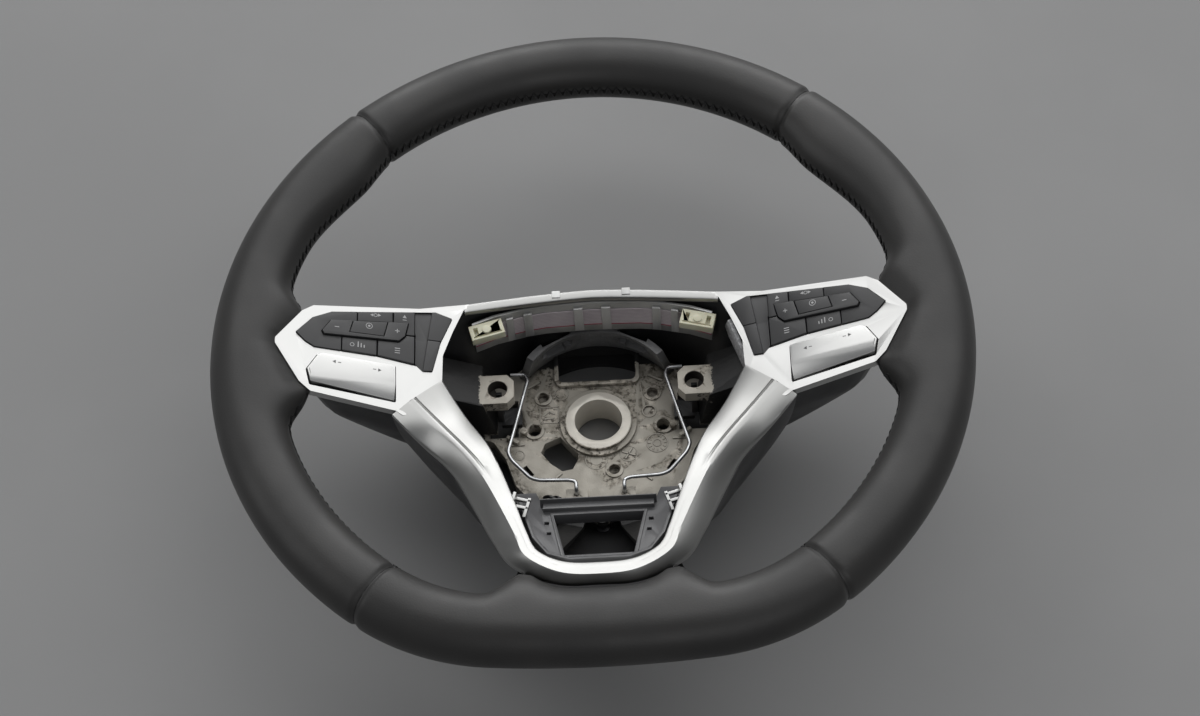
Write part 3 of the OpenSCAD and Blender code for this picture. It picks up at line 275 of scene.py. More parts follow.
def skin(rows, count, start=0, loop=False):
    """Faces between rows of as many points each, numbered from start."""
    faces = []
    for i in range(rows if loop else rows - 1):
        low, high = start + i * count, start + (i + 1) % rows * count
        for k in range(count):
            n = (k + 1) % count
            faces.append((low + k, low + n, high + n, high + k))
    return faces


def loft(name, rings, loop=False):
    """A closed skin over rings of points, with the ends filled unless the rings make a loop."""
    m, rows = len(rings[0]), len(rings)
    faces = skin(rows, m, loop=loop)
    if not loop:
        end = (rows - 1) * m
        for k in range(m // 2 - 1):
            faces.append((m - 1 - k, m - 2 - k, k + 1, k))
            faces.append((end + k, end + k + 1, end + m - 2 - k, end + m - 1 - k))
    return outward(mesh_piece(name, [p for r in rings for p in r], faces))


def bevel(piece, width, segments=2):
    """Rounds the piece's sharp edges."""
    choose(piece)
    soften = piece.modifiers.new("rounded_edges", "BEVEL")
    soften.width = width * MM
    soften.segments = segments
    soften.limit_method = "ANGLE"
    soften.angle_limit = math.radians(32)
    bpy.ops.object.modifier_apply(modifier=soften.name)
    return piece


def cut(piece, cutter):
    """Takes the cutter's shape out of the piece."""
    choose(piece)
    change = piece.modifiers.new("cut", "BOOLEAN")
    change.operation = "DIFFERENCE"
    change.solver = "EXACT"
    change.object = cutter
    bpy.ops.object.modifier_apply(modifier=change.name)
    bpy.data.objects.remove(cutter, do_unlink=True)


def joined(name, parts):
    deselect()
    for part in parts:
        part.select_set(True)
    bpy.context.view_layer.objects.active = parts[0]
    if len(parts) > 1:
        bpy.ops.object.join()
    piece = bpy.context.view_layer.objects.active
    piece.name = name
    piece.data.name = name
    return piece


def finished(piece, material, body=BODY, nodes=(), angle=35):
    """Gives a piece its finish, its body and the solids that it stands for."""
    piece.data.materials.clear()
    piece.data.materials.append(material)
    choose(piece)
    bpy.ops.object.shade_smooth_by_angle(angle=math.radians(angle))
    if nodes:
        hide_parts(*nodes)
    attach(piece, body)
    return piece


def on_spoke(u, v, w, side):
    """A point given along the spoke, up it and out of its face."""
    x = u * math.cos(SLOPE) - w * math.sin(SLOPE)
    return Vector((side * x, v, FACE_Z + u * math.sin(SLOPE) + w * math.cos(SLOPE))) * MM


def offset(outline, d):
    """The outline moved outwards by d, or inwards where d is below zero."""
    area = sum(a[0] * b[1] - b[0] * a[1] for a, b in zip(outline, outline[1:] + outline[:1]))
    turn = 1 if area > 0 else -1
    out = []
    for i, p in enumerate(outline):
        a, b = outline[i - 1], outline[(i + 1) % len(outline)]
        d1 = Vector((p[0] - a[0], p[1] - a[1])).normalized()
        d2 = Vector((b[0] - p[0], b[1] - p[1])).normalized()
        n1, n2 = Vector((d1.y, -d1.x)) * turn, Vector((d2.y, -d2.x)) * turn
        middle = (n1 + n2).normalized()
        out.append((p[0] + middle.x * d / middle.dot(n1), p[1] + middle.y * d / middle.dot(n1)))
    return out


def rounded(outline, radius, steps=5):
    """The outline with each corner turned by a small arc."""
    out = []
    for i, p in enumerate(outline):
        p, a, b = Vector(p), Vector(outline[i - 1]), Vector(outline[(i + 1) % len(outline)])
        back, ahead = a - p, b - p
        turn = back.angle(ahead)
        reach = min(radius / max(math.tan(turn / 2), 1e-3), 0.45 * back.length, 0.45 * ahead.length)
        start, end = p + back.normalized() * reach, p + ahead.normalized() * reach
        for s in range(steps + 1):
            t = s / steps
            out.append(tuple((1 - t) ** 2 * start + 2 * t * (1 - t) * p + t * t * end))
    return out


def prism(name, low, high):
    """A straight body between two rings with as many points each."""
    count = len(low)
    faces = [tuple(range(count)), tuple(range(count, 2 * count))]
    faces += [(k, (k + 1) % count, count + (k + 1) % count, count + k) for k in range(count)]
    return outward(mesh_piece(name, low + high, faces))


def block(name, outline, low, high, side):
    """A straight block on an outline along the spoke, from low to high out of its face."""
    return prism(name, *([on_spoke(u, v, w, side) for u, v in outline] for w in (low, high)))


def tube(name, path, radius, sides=12):
    """A round wire along a path of points in millimetres."""
    rings = []
    last = len(path) - 1
    side_way = Vector((0.3, 0.95, 0.1))
    for i, p in enumerate(path):
        ahead = (Vector(path[min(i + 1, last)]) - Vector(path[max(i - 1, 0)])).normalized()
        x = ahead.cross(side_way).normalized()
        y = ahead.cross(x)
        turn = [k * math.tau / sides for k in range(sides)]
        rings.append([(Vector(p) + radius * (x * math.cos(t) + y * math.sin(t))) * MM for t in turn])
    return loft(name, rings)


def bent(path, radius, steps=6):
    """A path with its corners turned in arcs, as bent wire has them."""
    out = [Vector(path[0])]
    for i in range(1, len(path) - 1):
        p, a, b = Vector(path[i]), Vector(path[i - 1]), Vector(path[i + 1])
        back, ahead = a - p, b - p
        reach = min(radius, 0.45 * back.length, 0.45 * ahead.length)
        start, end = p + back.normalized() * reach, p + ahead.normalized() * reach
        for s in range(steps + 1):
            t = s / steps
            out.append((1 - t) ** 2 * start + 2 * t * (1 - t) * p + t * t * end)
    return [*out, Vector(path[-1])]


# Finishes


def add_node(tree, kind, **settings):
    """A node with its settings and plain inputs, a space in an input's name written as _."""
    node = tree.nodes.new(kind)
    for key, value in settings.items():
        if key.replace("_", " ") in node.inputs:
            node.inputs[key.replace("_", " ")].default_value = value
        else:
            setattr(node, key, value)
    return node


def group(name, inputs, outputs):
    """An empty node group with sockets given as label and kind."""
    tree = bpy.data.node_groups.new(name, "ShaderNodeTree")
    for way, sockets in (("INPUT", inputs), ("OUTPUT", outputs)):
        for label, kind in sockets:
            tree.interface.new_socket(name=label, in_out=way, socket_type=f"NodeSocket{kind}")
    return tree, tree.nodes.new("NodeGroupInput"), tree.nodes.new("NodeGroupOutput")


def wired(tree, *pairs):
    """Joins sockets, each pair as a node and its output, then a node and its input."""
    for source, out, target, into in pairs:
        tree.links.new(source.outputs[out], target.inputs[into])


def grain_group():
    """Fine raised grain, as moulded plastic and leather have: cells, with soft noise between."""
    inputs = [("Vector", "Vector"), ("Scale", "Float"), ("Cells", "Float")]
    tree, start, end = group("surface_grain", inputs, [("Height", "Float")])
    cells = add_node(tree, "ShaderNodeTexVoronoi", feature="SMOOTH_F1", Smoothness=0.4)
    noise = add_node(tree, "ShaderNodeTexNoise", Detail=3.0, Roughness=0.6)
    mix = add_node(tree, "ShaderNodeMix", data_type="FLOAT")
    for texture in (cells, noise):
        wired(tree, (start, "Vector", texture, "Vector"), (start, "Scale", texture, "Scale"))
    wired(tree, (start, "Cells", mix, "Factor"), (noise, "Fac", mix, 2), (cells, "Distance", mix, 3))
    wired(tree, (mix, 0, end, "Height"))
    return tree


def drift_group():
    """Slow change between two colours over the surface, with a mask for the roughness."""
    inputs = [("Vector", "Vector"), ("Scale", "Float"), ("Light", "Color"), ("Dark", "Color")]
    tree, start, end = group("colour_drift", inputs, [("Colour", "Color"), ("Mask", "Float")])
    noise = add_node(tree, "ShaderNodeTexNoise", Detail=5.0, Roughness=0.55)
    spread = add_node(
        tree, "ShaderNodeMapRange", interpolation_type="SMOOTHSTEP", From_Min=0.35, From_Max=0.65
    )
    mix = add_node(tree, "ShaderNodeMix", data_type="RGBA")
    wired(tree, (start, "Vector", noise, "Vector"), (start, "Scale", noise, "Scale"))
    wired(tree, (noise, "Fac", spread, "Value"), (spread, "Result", mix, "Factor"))
    wired(tree, (start, "Light", mix, 6), (start, "Dark", mix, 7))
    wired(tree, (mix, 2, end, "Colour"), (spread, "Result", end, "Mask"))
    return tree


GRAIN = grain_group()
DRIFT = drift_group()


def finish(name, light, dark, rough, grain, drift, metallic=0.0, **shader):
    """A finish from a drifting colour, a roughness range and a grain: scale, cells, height in mm."""
    material = bpy.data.materials.new(name)
    material.use_nodes = True
    tree = material.node_tree
    surface = tree.nodes["Principled BSDF"]
    surface.inputs["Metallic"].default_value = metallic
    for key, value in shader.items():
        surface.inputs[key.replace("_", " ")].default_value = value
    place = tree.nodes.new("ShaderNodeTexCoord")
    tones = {"Light": (*light, 1), "Dark": (*dark, 1)}
    colours = add_node(tree, "ShaderNodeGroup", node_tree=DRIFT, Scale=drift, **tones)
    gloss = add_node(tree, "ShaderNodeMapRange", To_Min=rough[0], To_Max=rough[1])
    wired(tree, (place, "Object", colours, "Vector"), (colours, "Colour", surface, "Base Color"))
    wired(tree, (colours, "Mask", gloss, "Value"), (gloss, "Result", surface, "Roughness"))
    scale, cells, height = grain
    pattern = add_node(tree, "ShaderNodeGroup", node_tree=GRAIN, Scale=scale, Cells=cells)
    relief = add_node(tree, "ShaderNodeBump", Strength=1.0, Distance=height * MM)
    wired(tree, (place, "Object", pattern, "Vector"), (pattern, "Height", relief, "Height"))
    wired(tree, (relief, "Normal", surface, "Normal"))
    return material


def own_place(tree):
    """The socket with the piece's own coordinates."""
    return tree.nodes["Texture Coordinate"].outputs["Object"]


def axes_of(tree, place):
    split = tree.nodes.new("ShaderNodeSeparateXYZ")
    tree.links.new(place, split.inputs[0])
    return split.outputs


def noise_on(tree, scale, detail, rough):
    """The outputs of a noise in the piece's own coordinates."""
    noise = add_node(tree, "ShaderNodeTexNoise", Scale=scale, Detail=detail, Roughness=rough)
    tree.links.new(own_place(tree), noise.inputs["Vector"])
    return noise.outputs


def ramp(tree, source, low, high):
    """A mask that rises softly from 0 at low to 1 at high."""
    step = add_node(tree, "ShaderNodeMapRange", interpolation_type="SMOOTHSTEP", From_Min=low, From_Max=high)
    tree.links.new(source, step.inputs["Value"])
    return step.outputs["Result"]


def worked(tree, kind, operation, *values):
    """One sum on sockets and plain values."""
    node = add_node(tree, kind, operation=operation)
    for socket, value in zip(node.inputs, values):
        if isinstance(value, bpy.types.NodeSocket):
            tree.links.new(value, socket)
        else:
            socket.default_value = value
    return node.outputs["Value" if operation == "LENGTH" else 0]


def number(tree, operation, *values):
    return worked(tree, "ShaderNodeMath", operation, *values)


def vector(tree, operation, *values):
    return worked(tree, "ShaderNodeVectorMath", operation, *values)


def mixed_in(material, key, mask, value):
    """Brings one input of the shader to a value where the mask is 1."""
    tree = material.node_tree
    old = tree.nodes["Principled BSDF"].inputs[key]
    kind, first, second, out = ("RGBA", 6, 7, 2) if key == "Base Color" else ("FLOAT", 2, 3, 0)
    mix = add_node(tree, "ShaderNodeMix", data_type=kind)
    if old.links:
        tree.links.new(old.links[0].from_socket, mix.inputs[first])
    else:
        mix.inputs[first].default_value = old.default_value
    mix.inputs[second].default_value = value
    tree.links.new(mask, mix.inputs["Factor"])
    tree.links.new(mix.outputs[out], old)


def tinted(material, mask, colour):
    mixed_in(material, "Base Color", mask, (*colour, 1))


def overlaid(material, mask, colour, rough, metallic=None):
    """Another tone, gloss and metalness where the mask is 1."""
    tinted(material, mask, colour)
    mixed_in(material, "Roughness", mask, rough)
    if metallic is not None:
        mixed_in(material, "Metallic", mask, metallic)


def more_relief(material, scale, height, detail=4.0):
    """A second, larger relief under the grain."""
    tree = material.node_tree
    large = add_node(tree, "ShaderNodeBump", Strength=1.0, Distance=height * MM)
    grain = tree.nodes["Principled BSDF"].inputs["Normal"].links[0].from_node
    tree.links.new(noise_on(tree, scale, detail, 0.6)["Fac"], large.inputs["Height"])
    tree.links.new(large.outputs["Normal"], grain.inputs["Normal"])


def more_colour(material, colour, scale, low, high):
    """Specks or stains of another colour over the finish."""
    tree = material.node_tree
    tinted(material, ramp(tree, noise_on(tree, scale, 6.0, 0.65)["Fac"], low, high), colour)


def lit_and_worn_edges(material, colour, low, high):
    """Lighter or darker edges: wear where handling rubs the casting, a painted highlight on the other
    finishes.
    """
    tree = material.node_tree
    shape = tree.nodes.new("ShaderNodeNewGeometry")
    tinted(material, ramp(tree, shape.outputs["Pointiness"], low, high), colour)


def corner_shade_and_dirt(material, reach, colour):
    """Painted shade and dirt in the inner corners, darker where the surface is closed in."""
    tree = material.node_tree
    near = add_node(tree, "ShaderNodeAmbientOcclusion", samples=6, Distance=reach * MM)
    overlaid(material, ramp(tree, near.outputs["AO"], 0.92, 0.22), colour, 0.7)


def striped(material, axis, pitch, colour, width, height):
    """Thin sunk lines across one axis, between the conductors of a flat cable."""
    tree = material.node_tree
    along = axes_of(tree, own_place(tree))[axis]
    steps = number(tree, "FRACT", number(tree, "MULTIPLY", along, 1 / (pitch * MM)))
    lines = ramp(tree, number(tree, "ABSOLUTE", number(tree, "SUBTRACT", steps, 0.5)), 0.5 - width, 0.5)
    tinted(material, lines, colour)
    normal = tree.nodes["Principled BSDF"].inputs["Normal"]
    relief = add_node(tree, "ShaderNodeBump", Strength=1.0, Distance=height * MM, invert=True)
    tree.links.new(lines, relief.inputs["Height"])
    tree.links.new(normal.links[0].from_socket, relief.inputs["Normal"])
    tree.links.new(relief.outputs["Normal"], normal)


def edge_line(material, axis, low, high, colour):
    """A coloured line along the lower edge."""
    tree = material.node_tree
    overlaid(material, ramp(tree, axes_of(tree, own_place(tree))[axis], high, low), colour, 0.4)


def round_spot(material, centre, radius, colour, rough):
    """A round patch of another tone about an upright axis."""
    tree = material.node_tree
    away = vector(tree, "SUBTRACT", own_place(tree), (centre[0] * MM, centre[1] * MM, 0))
    length = vector(tree, "LENGTH", vector(tree, "MULTIPLY", away, (1, 1, 0)))
    overlaid(material, ramp(tree, length, (radius + 0.12) * MM, (radius - 0.12) * MM), colour, rough)


def foam_skin(material):
    """The foam's black skin, which runs ragged over the spokes of the casting and round its window."""
    tree = material.node_tree
    ragged = vector(tree, "SUBTRACT", noise_on(tree, 520.0, 3.0, 0.7)["Color"], (0.5, 0.5, 0.5))
    moved = vector(tree, "ADD", own_place(tree), vector(tree, "MULTIPLY", ragged, (0.005, 0.005, 0.005)))
    x, y, z = axes_of(tree, moved)
    wide = number(tree, "ABSOLUTE", x)
    # The roots of the side spokes are black too, but not the lugs that stand before them
    root = number(tree, "MULTIPLY", ramp(tree, wide, 0.0505, 0.0512), ramp(tree, z, -0.0032, -0.002))
    beside = number(tree, "ABSOLUTE", number(tree, "SUBTRACT", y, LUG_Y * MM))
    no_lug = number(tree, "MAXIMUM", ramp(tree, beside, 0.0082, 0.0088), ramp(tree, z, 0.0185, 0.0178))
    mask = number(tree, "MULTIPLY", root, no_lug)
    for source, low, high in ((wide, 0.0585, 0.0589), (y, -0.054, -0.0545), (y, 0.0345, 0.035)):
        mask = number(tree, "MAXIMUM", mask, ramp(tree, source, low, high))
    overlaid(material, mask, (0.014, 0.014, 0.014), 0.5, 0.0)


LEATHER = finish(
    "rim_leather", (0.020, 0.019, 0.018), (0.015, 0.0145, 0.014), (0.43, 0.51), (1100, 0.7, 0.04), 24,
    Specular_IOR_Level=0.5, Sheen_Weight=0.05, Sheen_Roughness=0.5
)
more_relief(LEATHER, 60, 0.12)
THREAD = finish(
    "stitch_thread", (0.012, 0.012, 0.012), (0.007, 0.007, 0.007), (0.34, 0.45), (2600, 0.2, 0.04), 300
)
SILVER = finish(
    "satin_silver", (0.395, 0.395, 0.386), (0.375, 0.375, 0.366), (0.33, 0.38), (3800, 0.0, 0.004),
    12, metallic=1.0
)
# Painted highlight: a lighter silver along the bezel's sharp edges
lit_and_worn_edges(SILVER, (0.56, 0.56, 0.55), 0.54, 0.62)
# Painted light: the rockers get the bezel's silver made brighter, so they look more strongly lit
LIT_ROCKER_SILVER = finish(
    "lit_rocker_silver", (0.56, 0.56, 0.55), (0.53, 0.53, 0.52), (0.33, 0.38), (3800, 0.0, 0.004),
    12, metallic=1.0
)
CAST = finish(
    "cast_magnesium", (0.66, 0.61, 0.53), (0.40, 0.37, 0.31), (0.46, 0.64), (1300, 0.35, 0.09),
    160, metallic=0.3
)
more_relief(CAST, 260, 0.28, 6.0)
more_colour(CAST, (0.11, 0.096, 0.076), 420, 0.47, 0.63)
more_colour(CAST, (0.15, 0.13, 0.105), 110, 0.5, 0.66)
more_colour(CAST, (0.44, 0.41, 0.36), 700, 0.6, 0.7)
lit_and_worn_edges(CAST, (0.5, 0.47, 0.41), 0.53, 0.6)
# Painted shade, with dirt, darkens the casting's inner corners
corner_shade_and_dirt(CAST, 4, (0.04, 0.034, 0.027))
round_spot(CAST, (0, 0), 16.6, (0.78, 0.74, 0.66), 0.4)
# Painted shade: a dark disc round each lug's bore stands for the shaded inside of a wider bore
for _, turn in SIDES:
    round_spot(CAST, (LUG_X * turn, LUG_Y), 5.0, (0.035, 0.03, 0.025), 0.6)
foam_skin(CAST)
ZINC = finish(
    "zinc_wire", (0.72, 0.73, 0.74), (0.56, 0.57, 0.58), (0.26, 0.4), (1500, 0.0, 0.02), 120, metallic=1.0
)
CREAM = finish(
    "cream_plastic", (0.60, 0.58, 0.44), (0.52, 0.49, 0.36), (0.32, 0.42), (1600, 0.1, 0.01), 90,
    Subsurface_Weight=0.05
)
RIBBON = finish("flat_cable", (0.62, 0.56, 0.58), (0.52, 0.46, 0.49), (0.34, 0.45), (900, 0.0, 0.01), 40)
striped(RIBBON, "Z", 1.27, (0.30, 0.26, 0.28), 0.16, 0.12)
cable_low = min(v.co.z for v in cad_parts["ribbon_cable"].data.vertices)
edge_line(RIBBON, "Z", cable_low + 0.7 * MM, cable_low + 1.0 * MM, (0.34, 0.02, 0.06))
FOAM = finish("moulded_foam", (0.17, 0.17, 0.172), (0.10, 0.10, 0.102), (0.34, 0.52), (700, 0.4, 0.12), 50)
more_relief(FOAM, 90, 0.4)
STEEL_GREY = finish(
    "grey_clip_plastic", (0.44, 0.44, 0.43), (0.34, 0.34, 0.33), (0.32, 0.42), (1200, 0.3, 0.015),
    45, metallic=0.45
)
# Painted highlight: a lighter tone along the clips' edges
lit_and_worn_edges(STEEL_GREY, (0.6, 0.6, 0.6), 0.53, 0.6)
STRAP = finish(
    "strap_metal", (0.64, 0.64, 0.63), (0.5, 0.5, 0.49), (0.3, 0.4), (1400, 0.2, 0.012), 60, metallic=0.4
)
CARRIER = finish(
    "carrier_plastic", (0.060, 0.060, 0.063), (0.045, 0.045, 0.048), (0.36, 0.5), (1300, 0.4, 0.03), 35
)
# Painted highlight: a lighter tone along the carrier's edges
lit_and_worn_edges(CARRIER, (0.2, 0.2, 0.2), 0.53, 0.6)
BLACK = finish(
    "black_plastic", (0.034, 0.034, 0.035), (0.024, 0.024, 0.025), (0.38, 0.5), (1500, 0.5, 0.03), 30
)
KEY = finish(
    "key_plastic", (0.030, 0.030, 0.031), (0.024, 0.024, 0.025), (0.36, 0.44), (3000, 0.3, 0.008), 20
)
DARK_MARK = finish(
    "rocker_marks", (0.10, 0.10, 0.10), (0.07, 0.07, 0.07), (0.4, 0.5), (2000, 0.0, 0.004), 80
)
MARK = finish("key_marks", (0.42, 0.42, 0.42), (0.36, 0.36, 0.36), (0.4, 0.5), (2000, 0.0, 0.004), 80)
LABEL = finish("module_case", (0.40, 0.40, 0.41), (0.31, 0.31, 0.32), (0.36, 0.48), (1500, 0.2, 0.02), 130)
more_colour(LABEL, (0.6, 0.6, 0.6), 700, 0.52, 0.58)
BOARD = finish(
    "circuit_board", (0.02, 0.11, 0.05), (0.015, 0.08, 0.035), (0.25, 0.35), (1400, 0.0, 0.02), 200
)
MAT = finish("dome_rubber", (0.62, 0.62, 0.63), (0.55, 0.55, 0.56), (0.5, 0.6), (1200, 0.2, 0.02), 60)
CORE = finish("core_foam", (0.03, 0.03, 0.03), (0.02, 0.02, 0.02), (0.6, 0.75), (600, 0.6, 0.2), 40)
WIRE_SKIN = finish(
    "wire_insulation", (0.012, 0.012, 0.013), (0.008, 0.008, 0.009), (0.28, 0.36), (900, 0, 0.01), 60
)
SCREW = finish(
    "screw_steel", (0.20, 0.20, 0.21), (0.13, 0.13, 0.14), (0.3, 0.45), (1800, 0.1, 0.02), 150, metallic=1.0
)


# The camera stands where the photograph was taken from


def photo_camera():
    azimuth, elevation, roll = (math.radians(a) for a in (2.28, 57.38, -4.90))
    distance = 1139.56 * MM
    target = Vector((3.99, -11.43, RIM_Z)) * MM
    level = Vector((math.cos(azimuth), math.sin(azimuth), 0))
    flat = Vector((level.y, -level.x, 0))
    back = math.cos(elevation) * flat + math.sin(elevation) * Vector((0, 0, 1))
    up = back.cross(level)
    right = math.cos(roll) * level + math.sin(roll) * up
    above = -math.sin(roll) * level + math.cos(roll) * up
    turn = Matrix((right, above, back)).transposed()
    lens = bpy.data.cameras.new("photo_camera")
    lens.sensor_width = 36
    lens.lens = 36 * 2364.97 / 1200
    lens.clip_start, lens.clip_end = 0.05, 20
    camera = bpy.data.objects.new("photo_camera", lens)
    camera.matrix_world = Matrix.Translation(target + back * distance) @ turn.to_4x4()
    bpy.context.scene.collection.objects.link(camera)
    bpy.context.scene.camera = camera


def lamp(name, place, size, power):
    """A white panel of light that faces the wheel."""
    light = bpy.data.lights.new(name, "AREA")
    light.shape = "RECTANGLE"
    light.size, light.size_y = size
    light.energy = power
    holder = bpy.data.objects.new(name, light)
    holder.location = place
    holder.rotation_mode = "QUATERNION"
    holder.rotation_quaternion = (Vector((0, 0, 0.05)) - Vector(place)).to_track_quat("-Z", "Y")
    bpy.context.scene.collection.objects.link(holder)


def studio():
    photo_camera()
    lamp("top_softbox", (0.35, 0.95, 1.55), (3.6, 2.3), 36)
    lamp("side_softbox", (-1.3, -0.1, 0.9), (0.8, 1.0), 3)
    lamp("back_panel", (0.1, 2.3, 0.85), (2.4, 0.9), 21)
    lamp("front_fill", (0.5, -1.5, 1.1), (1.4, 0.7), 3.5)
    world = bpy.data.worlds.new("studio_air")
    bpy.context.scene.world = world
    world.use_nodes = True
    air = world.node_tree.nodes["Background"]
    air.inputs["Color"].default_value = (0.95, 0.97, 1.0, 1)
    air.inputs["Strength"].default_value = 0.22
    bpy.context.scene.view_settings.view_transform = "Standard"
    paper = finish("paper_floor", (0.25, 0.25, 0.25), (0.24, 0.24, 0.24), (0.75, 0.85), (600, 0.2, 0.02), 3)
    deselect()
    bpy.ops.mesh.primitive_plane_add(size=8, location=(0, 0, cad_low.z - 0.0002))
    floor = bpy.context.active_object
    floor.name = "paper_floor"
    floor.data.materials.append(paper)


studio()


# Leather panels, wrapped round the rim and turned in at the seams



def seam_shrink(mm, phi):
    """How far the leather drops towards a seam, with the small puckers of its stitches."""
    return 1.15 * dip(mm, 1.5) + 0.16 * dip(mm - 2.6, 1.6) * math.cos(math.radians(40 * phi))


def slit_shrink(phi, n):
    """The stitched seam round the inside of the rim is drawn in."""
    away = math.radians(abs(phi - 180)) * inner_half(n)
    return 0.7 * dip(away, 2.2)


def rim_steps(a, b):
    """Directions from a to b, close together near the ends where the leather turns in."""
    edge = [0.0, 0.16, 0.34, 0.55, 0.8, 1.1, 1.5]
    sign = 1 if b > a else -1
    count = max(int(abs(b - a) / 0.6), 2)
    middle = [a + sign * 2.2 + (b - a - sign * 4.4) * i / count for i in range(count + 1)]
    return [a + sign * e for e in edge] + middle + [b - sign * e for e in reversed(edge)]


def leather_panel(name, a, b, node):
    steps = rim_steps(a, b)
    rings = []
    for n in steps:
        local = MAIN_R if side_angle(n) >= CORNER_START - 0.01 else CORNER_R
        near = min(abs(n - a), abs(n - b))
        near_mm = math.radians(near) * local
        outer, inner = [], []
        for k in range(SECTION_POINTS + 1):
            phi = 180 + SLIT_HALF + k * (360 - 2 * SLIT_HALF) / SECTION_POINTS
            drop = seam_shrink(near_mm, phi) + slit_shrink(phi % 360, n)
            outer.append(section_point(n, phi, drop))
            inner.append(section_point(n, phi, LEATHER_T + max(drop, 0) + 0.02))
        rings.append(outer + inner[::-1])
    piece = loft(name, rings)
    finished(piece, LEATHER, nodes=[node], angle=60)


def stitch():
    """One thread of the inside seam, a short arch that dives at both ends: along, across and height."""
    sides, steps, reach = 6, 6, 2.9
    rings = []
    way = Vector((2.1, 2 * reach, 0)).normalized()
    across = Vector((way.y, -way.x, 0))
    for i in range(steps + 1):
        t = i / steps
        height = 0.62 * math.sin(math.pi * t) ** 0.7 - 0.25
        centre = Vector((lerp(-1.05, 1.05, t), lerp(-reach, reach, t), height))
        turns = [math.tau * k / sides for k in range(sides)]
        up = Vector((0, 0, 1))
        rings.append([centre + 0.44 * (across * math.cos(q) + up * math.sin(q)) for q in turns])
    return rings


def local_radius(n):
    s = side_angle(n)
    return MAIN_R if s >= CORNER_START else CORNER_R if s >= CORNER_END else ARC_R


def stitching(name, a, b):
    """The herringbone seam along the inside of one panel, laid on the leather."""
    rings = stitch()
    sides = len(rings[0])
    points, faces = [], []
    n, sign = a + 0.5, 1 if b > a else -1
    turn = 0
    while (b - n) * sign > 0.5:
        bend = local_radius(n) - inner_half(n)
        if WEB_FOOT + 1.5 < side_angle(n) < WEB_TOP - 1.5:
            # Under the bezel's tip there are no stitches
            n += sign * 0.5
            continue
        start = len(points)
        for ring in rings:
            for p in ring:
                along = math.degrees((p.x if turn % 2 else -p.x) / bend)
                phi = 180 - math.degrees(p.y / HALF_H)
                points.append(section_point(n + along, phi, slit_shrink(phi, n) - p.z))
        faces += skin(len(rings), sides, start)
        end = start + (len(rings) - 1) * sides
        faces.append(tuple(start + k for k in range(sides)))
        faces.append(tuple(end + k for k in range(sides)))
        n += sign * math.degrees(2.15 / bend)
        turn += 1
    piece = outward(mesh_piece(name, points, faces))
    finished(piece, THREAD, angle=70)


seam_half = math.degrees(SEAM_GAP / 2 / MAIN_R)
PANELS = [
    ("top", 180 - SEAM_ANGLE - seam_half, SEAM_ANGLE + seam_half),
    ("right", SEAM_ANGLE - seam_half, CORNER_START + seam_half),
    ("bottom", CORNER_START - seam_half, -180 - CORNER_START + seam_half),
    ("left", 180 - CORNER_START - seam_half, 180 - SEAM_ANGLE + seam_half),
]
for place, first, last in PANELS:
    leather_panel(f"rim_leather_{place}", first, last, f"leather_{place}")
    stitching(f"inside_stitching_{place}", first, last)


# The silver bezel

SPOKE_EDGE = [
    (61, 39.6), (66.5, 38), (90, 31.9), (125, 27.9), (143, 25.9), (148.5, 22), (161.07, 4.6),
    (161.07, 1.6), (148.6, -18.6), (143, -23.4), (101, -28.9), (97, -31.5), (79.5, -12), (78.3, -8),
    (78, 6), (72.9, 21), (67.4, 34.6),
]
PAD_EDGE = [
    (151, 9), (143, 18.5), (134, 23), (82, 30.5), (73.6, 28), (79.5, 13), (83.5, -4.2), (88, -4.6),
    (91, -1.8), (110, 0.8), (142, 1.8), (146.5, 4.5),
]
ROCKER_EDGE = [(102, -4), (138, -1.9), (140.2, -3.2), (145, -11.5), (143.2, -19.4), (101.6, -23.8)]
HOLLOW_EDGE = SPOKE_EDGE[2:16]
SKIRT_END = [(50, 60), (72, 60), (72, 35), (77, 22), (82, 5), (84, -10), (98.5, -26), (98.5, -45), (50, -45)]
PLATE_INNER = [(69.4, 30), (73, 21.1), (78.1, 6), (78.4, -7.9)]

# The right arm from the spoke to the bridge: inner edge, ridge, outer edge, and how far the edge drops
ARM_ROWS = [
    (74, -8, 89, -22.5, 97.6, -31.4, -0.18),
    (63, -28, 73, -41, 81, -47.5, 0.62),
    (52, -47, 61, -57, 69.5, -60.5, 0.9),
    (45, -65, 53, -71, 62, -75, 1),
    (38, -87, 45, -89.5, 56, -89, 1),
    (33, -104, 38.5, -106, 49.5, -104, 0.95),
    (28, -116, 33.2, -120.1, 40, -121, 0.8),
    (16, -123.5, 17.7, -130.4, 20, -133.2, 0.55),
    (0, -124.8, 0, -132.4, 0, -134.8, 0.5),
]


def arm_z(x, y):
    """Height of the arms' top, which turns from the flat spoke face into a dish."""
    dish = FACE_Z + FACE_RISE * math.hypot(x, y - FACE_Y)
    return lerp(face_z(x), dish, ease((-y - 8) / 45))


def bar_y(x):
    return BAR_Y - BAR_FALL * (abs(x) / BAR_SPAN) ** 1.5


def bar_z(x):
    return face_z(BAR_SPAN) - 0.3 - 2 * (1 - (x / BAR_SPAN) ** 2)


